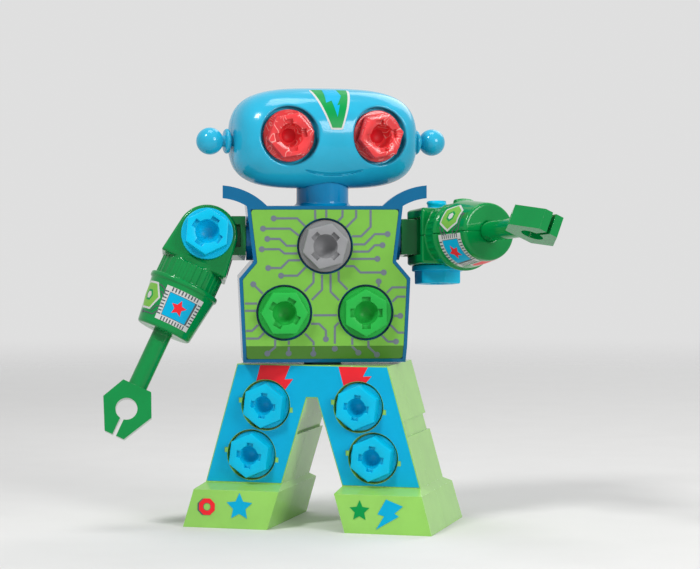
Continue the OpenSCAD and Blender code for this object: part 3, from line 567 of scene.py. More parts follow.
def filled(outlines: Sequence[Points], extra: Points = ()) -> tuple[np.ndarray, list[tuple[int, ...]]]:
    """Triangles that fill the first outline and leave the others open.

    Args:
        outlines: the outer outline, then the holes.
        extra: further points that the triangles use where they lie within.

    Returns:
        The points, and the triangles, anticlockwise.
    """
    flat, edges = [], []
    for outline in outlines:
        edges += [(len(flat) + i, len(flat) + (i + 1) % len(outline)) for i in range(len(outline))]
        flat += outline
    spots, _, triangles = delaunay_2d_cdt([Vector(p) for p in (*flat, *extra)], edges, [], 0, TINY)[:3]
    spots = np.array(spots)
    x, y = spots[np.array(triangles)].mean(axis=1).T
    odd = np.zeros(len(triangles), bool)
    for a, b in edges:
        (ax, ay), (bx, by) = flat[a], flat[b]
        if ay != by:
            odd ^= ((ay > y) != (by > y)) & (x < ax + (y - ay) / (by - ay) * (bx - ax))
    return spots, [tuple(t) for t, keep in zip(triangles, odd) if keep]


def linked(name: str, data: bpy.types.ID) -> bpy.types.Object:
    """Makes an object of a mesh, a lamp or a camera, in the scene."""
    bpy.context.scene.collection.objects.link(made := bpy.data.objects.new(name, data))
    return made


def baked(made: bmesh.types.BMesh, mesh: bpy.types.Mesh) -> bpy.types.Mesh:
    """Writes what was built into a mesh.

    Args:
        made: what was built; it is freed.
        mesh: the mesh that takes it.

    Returns:
        The same mesh.
    """
    made.to_mesh(mesh)
    made.free()
    return mesh


@dataclass
class Shape:
    """A mesh under construction: points in millimetres, faces, and the number of each face's finish."""

    points: list[Triple] = field(default_factory=list)
    faces: list[tuple[int, ...]] = field(default_factory=list)
    paint: list[int] = field(default_factory=list)

    def add(self, points: Points, faces: Sequence[Sequence[int]], paint: int = 0) -> "Shape":
        """Adds points and the faces between them.

        Args:
            points: the new points.
            faces: faces, numbered among the new points.
            paint: number of the faces' finish.

        Returns:
            This shape.
        """
        first = len(self.points)
        self.points += [tuple(p) for p in points]
        self.faces += [tuple(first + int(i) for i in f) for f in faces]
        self.paint += [paint] * len(faces)
        return self

    def loft(
        self, rings: Sequence[Points], caps: tuple[bool, bool] = (True, True), paint: int = 0
    ) -> "Shape":
        """Joins rings of as many points each by quads.

        Args:
            rings: the rings in order.
            caps: whether the first and the last ring are closed.
            paint: number of the faces' finish.

        Returns:
            This shape.
        """
        count = len(rings[0])
        last = (len(rings) - 1) * count
        faces = [
            (low + i, low + (i + 1) % count, low + count + (i + 1) % count, low + count + i)
            for low in range(0, last, count)
            for i in range(count)
        ]
        faces += [tuple(reversed(range(count)))] * caps[0] + [tuple(range(last, last + count))] * caps[1]
        return self.add([p for ring in rings for p in ring], faces, paint)

    def lathe(self, profile: Points, count: int = 64, paint: int = 0) -> "Shape":
        """Turns a profile of radii and heights about Z. Its ends lie on the axis."""
        rings = [lifted(circle(max(r, TINY), count), z) for r, z in profile]
        return self.loft(rings, (True, True), paint)

    def sheet(
        self,
        outlines: Sequence[Points],
        low: float,
        high: float,
        spacing: float = 0.0,
        paint: int = 0,
    ) -> "Shape":
        """A flat sheet with holes and a thickness, cut into triangles.

        Args:
            outlines: the outer outline, then the holes.
            low: height of its underside.
            high: height of its top.
            spacing: distance of points within a sheet that is to be wrapped round a surface, or nought.
            paint: number of the faces' finish.

        Returns:
            This shape.
        """
        rings, extra = outlines, []
        if spacing:
            rings = [split(outline, spacing) for outline in outlines]
            (low_x, low_y), (high_x, high_y) = np.min(rings[0], axis=0), np.max(rings[0], axis=0)
            extra = [
                (x, y)
                for x in np.arange(low_x + spacing / 2, high_x, spacing)
                for y in np.arange(low_y + spacing / 2, high_y, spacing)
            ]
        spots, triangles = filled(rings, extra)
        used = sorted({i for t in triangles for i in t})
        number = {old: new for new, old in enumerate(used)}
        top = [tuple(number[i] for i in t) for t in triangles]
        count = len(used)
        sides = dict.fromkeys((a, b) for t in top for a, b in zip(t, t[1:] + t[:1]))
        walls = [(b, a, a + count, b + count) for a, b in sides if (b, a) not in sides]
        faces = top + [tuple(reversed([i + count for i in t])) for t in top] + walls
        points = [(*spots[i], h) for h in (high, low) for i in used]
        return self.add(points, faces, paint)

    def sheet_between(self, outer: Points, inner: Points, height: float) -> "Shape":
        """A flat ring at a height, from an outer outline to an inner one."""
        spots, triangles = filled([outer, inner])
        return self.add(lifted(spots, height), triangles)

    def mapped(self, way: SurfaceMap) -> "Shape":
        """Moves every point by a map on an array of points."""
        self.points = [tuple(p) for p in way(np.array(self.points, float))]
        return self

    def placed(self, matrix: Matrix) -> "Shape":
        """Moves every point by a matrix."""
        self.points = [tuple(matrix @ Vector(p)) for p in self.points]
        return self

    def mesh(self, name: str, merge: float = 1e-3) -> bpy.types.Mesh:
        """The finished mesh in metres, its doubles merged and its faces pointing outwards.

        Args:
            name: the mesh's name.
            merge: distance within which points are one.

        Returns:
            The mesh, without materials.
        """
        made = bmesh.new()
        spots = [made.verts.new(p) for p in self.points]
        for face, paint in zip(self.faces, self.paint):
            made.faces.new([spots[i] for i in face]).material_index = paint
        bmesh.ops.remove_doubles(made, verts=made.verts, dist=merge)
        bmesh.ops.dissolve_degenerate(made, dist=TINY, edges=made.edges)
        bmesh.ops.collapse(made, edges=[e for e in made.edges if len(e.link_faces) > 2])
        bmesh.ops.recalc_face_normals(made, faces=made.faces)
        bmesh.ops.scale(made, vec=(MM, MM, MM), verts=made.verts)
        return baked(made, bpy.data.meshes.new(name))


def settle(
    name: str,
    mesh: bpy.types.Mesh,
    body: str,
    finishes: Sequence[Finish],
    nodes: Sequence[str] = (),
    sharp: float = 32.0,
) -> bpy.types.Object:
    """Makes a finished piece that rides on a body.

    Args:
        name: the piece's name.
        mesh: its mesh, in its place.
        body: the body that carries it.
        finishes: its finishes, in the order of its faces' numbers.
        nodes: the nodes that it stands for.
        sharp: the angle above which an edge is sharp, or nought to leave shading alone.

    Returns:
        The piece's object.
    """
    paint = np.zeros(len(mesh.polygons), np.int32)
    mesh.polygons.foreach_get("material_index", paint)
    mesh.materials.clear()
    for finish in finishes:
        mesh.materials.append(finish.material())
    mesh.polygons.foreach_set("material_index", paint)
    if sharp:
        mesh.shade_smooth()
        mesh.set_sharp_from_angle(angle=math.radians(sharp))
    piece = linked(name, mesh)
    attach(piece, body)
    if nodes:
        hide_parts(*nodes)
    log.info("%s: %d faces on %s", name, len(mesh.polygons), body)
    return piece


def evaluated(holder: bpy.types.Object) -> bpy.types.Mesh:
    """The mesh that an object's modifiers make.

    Args:
        holder: the object; it is removed, and its old mesh with it.

    Returns:
        The plain mesh.
    """
    seen = holder.evaluated_get(bpy.context.evaluated_depsgraph_get())
    mesh = bpy.data.meshes.new_from_object(seen)
    old = holder.data
    bpy.data.objects.remove(holder)
    if old.users == 0:
        bpy.data.meshes.remove(old)
    return mesh


def soften(mesh: bpy.types.Mesh, width: float, segments: int = 3, angle: float = 30.0) -> bpy.types.Mesh:
    """Rounds a mesh's sharp edges and marks the rounded faces in its edge attribute.

    Args:
        mesh: a closed mesh in metres.
        width: width of the rounding.
        segments: faces across it.
        angle: least angle of an edge that is rounded.

    Returns:
        The new mesh.
    """
    holder = linked("holder", mesh)
    mesh.materials.clear()
    mesh.materials.append(None)
    mesh.materials.append(None)
    mesh.shade_smooth()
    bevel = holder.modifiers.new("round", "BEVEL")
    bevel.width, bevel.segments = width * MM, segments
    bevel.limit_method, bevel.angle_limit = "ANGLE", math.radians(angle)
    bevel.use_clamp_overlap, bevel.material = True, 1
    bevel.miter_outer = "MITER_ARC"
    weighted = holder.modifiers.new("weighted", "WEIGHTED_NORMAL")
    weighted.keep_sharp, weighted.weight = False, 60
    made = evaluated(holder)
    rubbed = np.zeros(len(made.polygons), np.int32)
    made.polygons.foreach_get("material_index", rubbed)
    made.polygons.foreach_set("material_index", np.zeros(len(made.polygons), np.int32))
    mark = made.attributes.new("edge", "FLOAT", "FACE")
    mark.data.foreach_set("value", rubbed.astype(np.float32))
    return made


def copied(node: str, merge: float = 2e-6, flat: float = 0.8) -> bpy.types.Mesh:
    """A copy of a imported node's mesh, with its triangles joined into the faces that they came from.

    Args:
        node: the node's name.
        merge: distance in metres within which points are one.
        flat: angle between triangles below which they are one face.

    Returns:
        The new mesh.
    """
    made = bmesh.new()
    made.from_mesh(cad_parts[node].data)
    bmesh.ops.remove_doubles(made, verts=made.verts, dist=merge)
    bmesh.ops.dissolve_limit(made, angle_limit=math.radians(flat), verts=made.verts, edges=made.edges)
    return baked(made, bpy.data.meshes.new(node))


def dress(node: str, finish: Finish) -> None:
    """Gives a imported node, whose shape stays, a better finish.

    Args:
        node: the node's name.
        finish: its finish.
    """
    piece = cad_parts[node]
    for place in piece.material_slots:
        place.link = "OBJECT"
        place.material = finish.material()
    log.info("%s: packed shape, %s", node, finish.name)


def moulded(node: str, body: str, finish: Finish, width: float, segments: int = 3) -> bpy.types.Object:
    """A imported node's own shape with its edges rounded, as a mould leaves them.

    Args:
        node: the node that the piece stands for.
        body: the body that carries it.
        finish: its finish.
        width: width of the rounding.
        segments: faces across the rounding.

    Returns:
        The piece.
    """
    mesh = soften(copied(node), width, segments)
    return settle(node + "_moulding", mesh, body, [finish], [node], 0)


def round_max(first: np.ndarray, second: np.ndarray, radius: float) -> np.ndarray:
    """Distances to what two solids share, with a round edge where they meet."""
    reach = np.hypot(np.maximum(first + radius, 0), np.maximum(second + radius, 0))
    return np.minimum(np.maximum(first, second), -radius) + reach


def tunnels(points: np.ndarray, spots: Points, seat_y: float, radius: float) -> np.ndarray:
    """Distance from the tunnels, at an X and Z each, that take screws from behind down to their seats."""
    near = np.min([np.hypot(points[:, 0] - x, points[:, 2] - z) for x, z in spots], axis=0)
    return np.maximum(near - radius, seat_y - points[:, 1])


def round_min(first: np.ndarray, second: np.ndarray, radius: float) -> np.ndarray:
    """Distances to two solids together, with a fillet where they meet."""
    reach = np.hypot(np.maximum(radius - first, 0), np.maximum(radius - second, 0))
    return np.maximum(np.minimum(first, second), radius) - reach


@dataclass(frozen=True)
class Mould:
    """A solid given by distances from its surface, cast as a mesh on a grid."""

    distance: Callable[[np.ndarray], np.ndarray]
    low: Triple
    high: Triple
    step: float
    feel: float = 0.02
    batches: int = 40
    rounds: int = 4
    most: float = 0.4
    least_slope: float = 0.05

    def slope(self, points: np.ndarray) -> np.ndarray:
        """How the distance changes along each axis."""
        pairs = [(points + m, points - m) for m in np.eye(3) * self.feel]
        return np.stack([self.distance(a) - self.distance(b) for a, b in pairs], axis=1) / (2 * self.feel)

    def cast(self) -> Shape:
        """One point in each grid cell that the surface crosses, drawn onto it, and quads between them.

        Returns:
            The closed shape.
        """
        axes = [np.arange(a, b + self.step, self.step) for a, b in zip(self.low, self.high)]
        size = tuple(len(a) for a in axes)
        grid = np.stack(np.meshgrid(*axes, indexing="ij"), axis=-1)
        batches = np.array_split(grid.reshape(-1, 3), self.batches)
        values = np.concatenate([self.distance(part) for part in batches]).reshape(size)
        inside = values < 0
        total = np.zeros(tuple(n - 1 for n in size) + (3,))
        count = np.zeros(tuple(n - 1 for n in size), int)
        crossings = []
        for axis, step in enumerate(np.eye(3, dtype=int)):
            changed = np.argwhere(np.diff(inside, axis=axis))
            first = values[tuple(changed.T)]
            second = values[tuple((changed + step).T)]
            along = (first / (first - second))[:, None]
            spots = grid[tuple(changed.T)] + along * step * self.step
            one, other = np.delete(np.eye(3, dtype=int), axis, axis=0)
            cells = [changed - a * one - b * other for a, b in ((0, 0), (1, 0), (1, 1), (0, 1))]
            for cell in cells:
                np.add.at(total, tuple(cell.T), spots)
                np.add.at(count, tuple(cell.T), 1)
            crossings.append((cells, inside[tuple(changed.T)], axis))
        used = count > 0
        number = np.full(used.shape, -1)
        number[used] = np.arange(used.sum())
        points = total[used] / count[used][:, None]
        reach = self.most * self.step
        for _ in range(self.rounds):
            slope = self.slope(points)
            pull = self.distance(points) / np.maximum((slope * slope).sum(axis=1), self.least_slope)
            points = points - np.clip(pull, -reach, reach)[:, None] * slope
        faces = []
        for cells, solid, axis in crossings:
            quads = np.stack([number[tuple(c.T)] for c in cells], axis=1)
            flip = solid if axis != 1 else ~solid
            quads[flip] = quads[flip][:, ::-1]
            faces.append(quads)
        return Shape().add(points, np.concatenate(faces).tolist())

    def halves(self, edge: float, lap: float = 1.0) -> dict[str, Shape]:
        """The two shells of a solid that is parted where y is nought.

        Args:
            edge: rounding of the parting's edges.
            lap: how far the grids reach past the parting.

        Returns:
            The shell in front and the one at the rear, by those words.
        """
        made = {}
        for word, sign in (("front", -1), ("rear", 1)):
            def half(points: np.ndarray, sign: int = sign) -> np.ndarray:
                """Distance from one of the two shells."""
                return round_max(self.distance(points), -sign * points[:, 1], edge)

            low = (self.low[0], self.low[1] if sign < 0 else -lap, self.low[2])
            high = (self.high[0], lap if sign < 0 else self.high[1], self.high[2])
            made[word] = replace(self, distance=half, low=low, high=high).cast()
        return made


class GeoTree:
    """A Geometry Nodes tree with named inputs, ended by realized instances and a material."""

    def __init__(self, name: str, inputs: dict[str, float | int | tuple]) -> None:
        """Starts a tree.

        Args:
            name: the tree's name.
            inputs: names and values of its inputs besides the geometry.
        """
        self.tree = bpy.data.node_groups.new(name, "GeometryNodeTree")
        self.graph = Graph(self.tree)
        face = self.tree.interface
        face.new_socket("Geometry", in_out="INPUT", socket_type="NodeSocketGeometry")
        face.new_socket("Geometry", in_out="OUTPUT", socket_type="NodeSocketGeometry")
        self.values = {}
        for label, value in inputs.items():
            kind = "NodeSocketInt" if isinstance(value, int) else "NodeSocketFloat"
            self.values[face.new_socket(label, in_out="INPUT", socket_type=kind).identifier] = value
        self.start = self.graph.node("NodeGroupInput")

    def __getitem__(self, name: str) -> Sock:
        """An input by its name."""
        return Sock(self.graph, self.start.outputs[name])

    def finish(self, geometry: Sock, finish: Finish) -> None:
        """Ends the tree.

        Args:
            geometry: what it makes.
            finish: the finish of all of it.
        """
        real = self.graph.add("GeometryNodeRealizeInstances", None, {"Geometry": geometry})
        sockets = {"Geometry": real, "Material": finish.material()}
        worn = self.graph.add("GeometryNodeSetMaterial", None, sockets)
        self.graph.node("NodeGroupOutput", None, {"Geometry": worn})

    def grown(self, mesh: bpy.types.Mesh) -> bpy.types.Mesh:
        """Runs the tree on a mesh.

        Args:
            mesh: what the tree starts from.

        Returns:
            The plain mesh that it makes.
        """
        holder = linked("holder", mesh)
        modifier = holder.modifiers.new("grown", "NODES")
        modifier.node_group = self.tree
        for identifier, value in self.values.items():
            modifier[identifier] = value
        return evaluated(holder)


def wrapped(mesh: bpy.types.Mesh, way: SurfaceMap, matrix: Matrix) -> bpy.types.Mesh:
    """A flat mesh in millimetres laid on a surface, put in its place and brought to metres.

    Args:
        mesh: the flat mesh; it is changed.
        way: the surface.
        matrix: the frame that the surface is in.

    Returns:
        The same mesh.
    """
    flat = np.zeros(len(mesh.vertices) * 3)
    mesh.vertices.foreach_get("co", flat)
    points = way(flat.reshape(-1, 3))
    turn = np.array(matrix)
    points = (points @ turn[:3, :3].T + turn[:3, 3]) * MM
    mesh.vertices.foreach_set("co", points.ravel())
    made = bmesh.new()
    made.from_mesh(mesh)
    bmesh.ops.recalc_face_normals(made, faces=made.faces)
    return baked(made, mesh)


@dataclass(frozen=True)
class TracePrint:
    """Printed lines with round pads at the ends that ask for them, raised by the thickness of the ink."""

    width: float = 1.05
    pad: float = 1.4
    ink: float = 0.07
    cuts: int = 3
    pad_sides: int = 20
    pad_rise: float = 1.2

    def lines(
        self, name: str, padded: Sequence[Points], plain: Sequence[Points], finish: Finish
    ) -> bpy.types.Mesh:
        """Sweeps each line and puts its pad on.

        Args:
            name: the tree's name.
            padded: corners of each line that ends in a pad.
            plain: corners of each line without one.
            finish: the finish of the print.

        Returns:
            A flat mesh in millimetres.
        """
        made = bmesh.new()
        layer = made.verts.layers.float.new("pad")
        for number, corners in enumerate([*padded, *plain]):
            spots = [made.verts.new(p) for p in lifted(corners, 0.0)]
            spots[-1][layer] = float(number < len(padded))
            for pair in zip(spots, spots[1:]):
                made.edges.new(pair)
        mesh = baked(made, bpy.data.meshes.new(name))
        tree = GeoTree(name, {
            "Line Width": self.width, "Pad Radius": self.pad, "Ink Thickness": self.ink, "Cuts": self.cuts,
        })
        graph = tree.graph
        curve = graph.add("GeometryNodeMeshToCurve", None, {"Mesh": tree["Geometry"]})
        cut = graph.add("GeometryNodeSubdivideCurve", None, {"Curve": curve, "Cuts": tree["Cuts"]})
        upright = graph.add("GeometryNodeSetCurveNormal", {"mode": "Z_UP"}, {"Curve": cut})
        sockets = {"Width": tree["Line Width"], "Height": 2.0 * tree["Ink Thickness"]}
        strip = graph.add("GeometryNodeCurvePrimitiveQuadrilateral", None, sockets)
        sockets = {"Curve": upright, "Profile Curve": strip, "Fill Caps": True}
        swept = graph.add("GeometryNodeCurveToMesh", None, sockets)
        ends = graph.add("GeometryNodeCurveEndpointSelection")
        wants = graph.add("GeometryNodeInputNamedAttribute", {"data_type": "FLOAT"}, {"Name": "pad"})
        marked = graph.add("FunctionNodeCompare", {"operation": "GREATER_THAN"}, {0: wants, 1: 0.5})
        chosen = graph.add("FunctionNodeBooleanMath", {"operation": "AND"}, {0: ends, 1: marked})
        depth = 2 * self.pad_rise * tree["Ink Thickness"]
        sockets = {"Vertices": self.pad_sides, "Radius": tree["Pad Radius"], "Depth": depth}
        disc = graph.add("GeometryNodeMeshCylinder", None, sockets)
        sockets = {"Points": curve, "Selection": chosen, "Instance": disc}
        pads = graph.add("GeometryNodeInstanceOnPoints", None, sockets)
        tree.finish(graph.add("GeometryNodeJoinGeometry", None, {"Geometry": [swept, pads]}), finish)
        return tree.grown(mesh)


@dataclass(frozen=True)
class ScrewSet:
    """Shell screws with a crosshead, all alike, along +Y from tip to head."""

    head_r: float = 2.6
    head_h: float = 1.8
    shank_r: float = 1.3
    tip_y: float = -10.0
    cross_w: float = 0.75
    cross_len: float = 3.2
    cross_depth: float = 1.0
    face_share: float = 0.86
    tip_share: float = 0.5
    sides: int = 40
    seed: int = 7

    def screw(self, length: float) -> Shape:
        """One screw along +Z, with the underside of its head on z = 0.

        Args:
            length: how far its shank reaches down.

        Returns:
            The shape.
        """
        face_r = self.face_share * self.head_r
        profile = [
            (self.tip_share * self.shank_r, -length), (self.shank_r, 0.0), (self.head_r, 0.0),
            (self.head_r, 0.5 * self.head_h), (face_r, self.head_h),
        ]
        made = Shape().loft([lifted(circle(r, self.sides), z) for r, z in profile], (True, False))
        far, near = self.cross_len / 2, self.cross_w / 2
        arm = [(near, -near), (far, -near), (far, near)]
        cross = [point for quarter in range(4) for point in spun(arm, 90 * quarter)]
        made.sheet_between(circle(face_r, self.sides), cross, self.head_h)
        heights = (self.head_h, self.head_h - self.cross_depth)
        return made.loft([lifted(cross, z) for z in heights], (False, True))

    def build(
        self, name: str, spots: Points, seat_y: float, matrix: Matrix, body: str, node: str
    ) -> None:
        """Puts one screw at each spot, with its cross turned at random.

        Args:
            name: the piece's name.
            spots: X and Z of each screw.
            seat_y: depth of the underside of the heads.
            matrix: the frame that the spots are in.
            body: the body that carries them.
            node: the node that they stand for.
        """
        mesh = bpy.data.meshes.new(name)
        mesh.from_pydata([(x, seat_y, z) for x, z in spots], [], [])
        full_size = Matrix.Scale(1 / MM, 4)
        screw = self.screw(seat_y - self.tip_y).placed(full_size)
        pattern = bpy.data.objects.new("pattern", screw.mesh("pattern"))
        tree = GeoTree(name, {"Seed": self.seed, "Turn Range": math.pi / 2})
        graph = tree.graph
        points = graph.add("GeometryNodeMeshToPoints", None, {"Mesh": tree["Geometry"]})
        copies = graph.add("GeometryNodeObjectInfo", None, {"Object": pattern}, "Geometry")
        sockets = {"Max": tree["Turn Range"], "Seed": tree["Seed"]}
        spin = graph.add("FunctionNodeRandomValue", None, sockets, "Value")
        euler = graph.add("ShaderNodeCombineXYZ", None, {"X": -math.pi / 2, "Y": spin})
        turn = graph.add("FunctionNodeEulerToRotation", None, {"Euler": euler})
        sockets = {"Points": points, "Instance": copies, "Rotation": turn}
        tree.finish(graph.add("GeometryNodeInstanceOnPoints", None, sockets), STEEL)
        made = wrapped(tree.grown(mesh), lambda p: p, matrix)
        bpy.data.objects.remove(pattern)
        settle(name, made, body, [STEEL], [node])


@dataclass(frozen=True)
class ToyBolt:
    """A big toy bolt: flange, six-sided head, a socket with four keyways, and a coarse thread."""

    flange_r: float = 12.2
    flange_t: float = 2.6
    hex_r: float = 11.2
    hex_h: float = 6.0
    shank_r: float = 5.0
    shank_len: float = 31.0
    socket_r: float = 5.6
    socket_depth: float = 8.0
    key_r: float = 7.5
    key_w: float = 3.9
    key_depth: float = 2.2
    pitch: float = 3.6
    thread: float = 0.55
    thread_gain: float = 1.6
    thread_flat: float = 0.3
    plain: float = 4.0
    fade: float = 2.0
    tip_ease: Pair = (0.5, 0.7)
    # Eased edges: how far each point lies in from the side, and how far off the face.
    foot_ease: Ease = ((0.5, 0.0), (0.15, 0.15), (0.0, 0.5))
    rim_ease: Ease = ((0.0, 0.4), (0.07, 0.18), (0.2, 0.05), (0.4, 0.0))
    hex_ease: Ease = ((0.06, 0.6), (0.14, 0.28), (0.28, 0.08), (0.5, 0.0))
    socket_ease: Ease = ((0.3, 0.0), (0.08, 0.12), (0.0, 0.35))
    hex_corner: float = 0.6
    bowl_arc: float = 84.0
    bowl_rings: int = 12
    bowl_deep: int = 7
    sides: int = 48
    shank_rings: int = 91

    def shank(self) -> list[list[Triple]]:
        """The threaded shank, from its tip to the flange.

        Returns:
            Its rings.
        """
        rings = []
        for z in np.linspace(-self.shank_len, 0.0, self.shank_rings):
            ring = []
            ended = min(1.0, max(0.0, (-self.plain - z) / self.fade))
            tip = self.tip_ease[0] * max(0.0, 1 - (z + self.shank_len) / self.tip_ease[1])
            for turn in np.arange(self.sides) / self.sides:
                wave = abs(2 * ((z / self.pitch + turn) % 1.0) - 1)
                cut = self.thread * min(1.0, max(0.0, self.thread_gain * wave - self.thread_flat)) * ended
                r, angle = self.shank_r - max(cut, tip), 2 * math.pi * turn
                ring.append((r * math.cos(angle), r * math.sin(angle), z))
            rings.append(ring)
        return rings

    def socket_outline(self, grow: float) -> tuple[Outline, list[Outline]]:
        """The socket with its keyways, seen from above.

        Args:
            grow: how far the outline is drawn outwards.

        Returns:
            The whole outline, and for each keyway its mouth on the socket's circle.
        """
        r, reach, half = self.socket_r + grow, self.key_r + grow, self.key_w / 2 + grow
        side = math.degrees(math.asin(half / r))
        outline, mouths = [], []
        for middle in (0, 90, 180, 270):
            mouth = arc(r, middle - side, middle + side, 5)
            mouths.append(mouth)
            outline += [mouth[0], *spun([(reach, -half), (reach, half)], middle), mouth[-1]]
            outline += arc(r, middle + side, middle + 90 - side, 7)[1:-1]
        return outline, mouths

    def shape(self, spin: float, flange_size: float = 1.0, socket_size: float = 1.0) -> Shape:
        """The whole bolt with its flange on z = 0 and its head up.

        Args:
            spin: turn about its axis.
            flange_size: size of the flange against the plain one.
            socket_size: size of the socket against the plain one.

        Returns:
            The shape.
        """
        top = self.flange_t + self.hex_h
        flange = self.flange_r * flange_size
        made = Shape().loft(self.shank(), (True, False))
        profile = [(self.shank_r, 0.0)]
        profile += [(flange - aside, off) for aside, off in self.foot_ease]
        profile += [(flange - aside, self.flange_t - off) for aside, off in self.rim_ease]
        rims = [lifted(circle(r, self.sides), z) for r, z in profile]
        made.loft(rims, (False, False))
        corners = circle(min(self.hex_r, profile[-1][0]), 6)
        stack = [(0.0, self.flange_t), *[(aside, top - off) for aside, off in self.hex_ease]]
        hexes = [lifted(rounded(inset(corners, aside), self.hex_corner), z) for aside, z in stack]
        made.loft(hexes, (False, False))
        made.sheet_between([p[:2] for p in rims[-1]], [p[:2] for p in hexes[0]], self.flange_t)
        sizes = {name: getattr(self, name) * socket_size for name in ("socket_r", "key_r", "key_w")}
        sized = replace(self, **sizes)
        drops = (*self.socket_ease, (0.0, self.key_depth))
        walls = [lifted(sized.socket_outline(grow)[0], top - drop) for grow, drop in drops]
        made.sheet_between([p[:2] for p in hexes[-1]], [p[:2] for p in walls[0]], top)
        made.loft(walls, (False, False))
        shelf = top - self.key_depth
        ring = []
        outline, mouths = sized.socket_outline(0.0)
        per_quarter = len(outline) // 4
        for quarter, mouth in enumerate(mouths):
            first = quarter * per_quarter
            patch = [mouth[0], *outline[first + 1 : first + 3], *reversed(mouth[1:])]
            made.add(lifted(patch, shelf), [range(len(patch))])
            ring += mouth + outline[first + 4 : first + per_quarter]
        depth = self.socket_depth - self.key_depth
        bowl = arc(1.0, 0.0, -self.bowl_arc, self.bowl_rings)
        rings = [[(x * share, y * share, shelf + depth * down) for x, y in ring] for share, down in bowl]
        # The lower bowl takes the second finish; on the eye bolts that finish is painted shade.
        made.loft(rings[: self.bowl_deep + 1], (False, False))
        made.loft(rings[self.bowl_deep :], (False, True), 1)
        return made.placed(turned("Z", spin))

    def build(
        self,
        node: str,
        matrix: Matrix,
        finish: Finish,
        spin: float,
        sizes: Point = (1.0, 1.0),
        deep: Finish | None = None,
    ) -> None:
        """Makes one bolt that stands for a node.

        Args:
            node: the node's name; the bolt's own body is named after it.
            matrix: the bolt's frame, with its flange on z = 0.
            finish: its finish.
            spin: its turn.
            sizes: size of the flange and of the socket against the plain ones.
            deep: the finish of the socket's lower bowl, where it isn't the bolt's own; on the eye bolts it is
                a painted shade.
        """
        mesh = self.shape(spin, *sizes).placed(matrix).mesh(node + "_piece")
        settle(node + "_piece", mesh, node + "_body", [finish, deep or finish], [node])


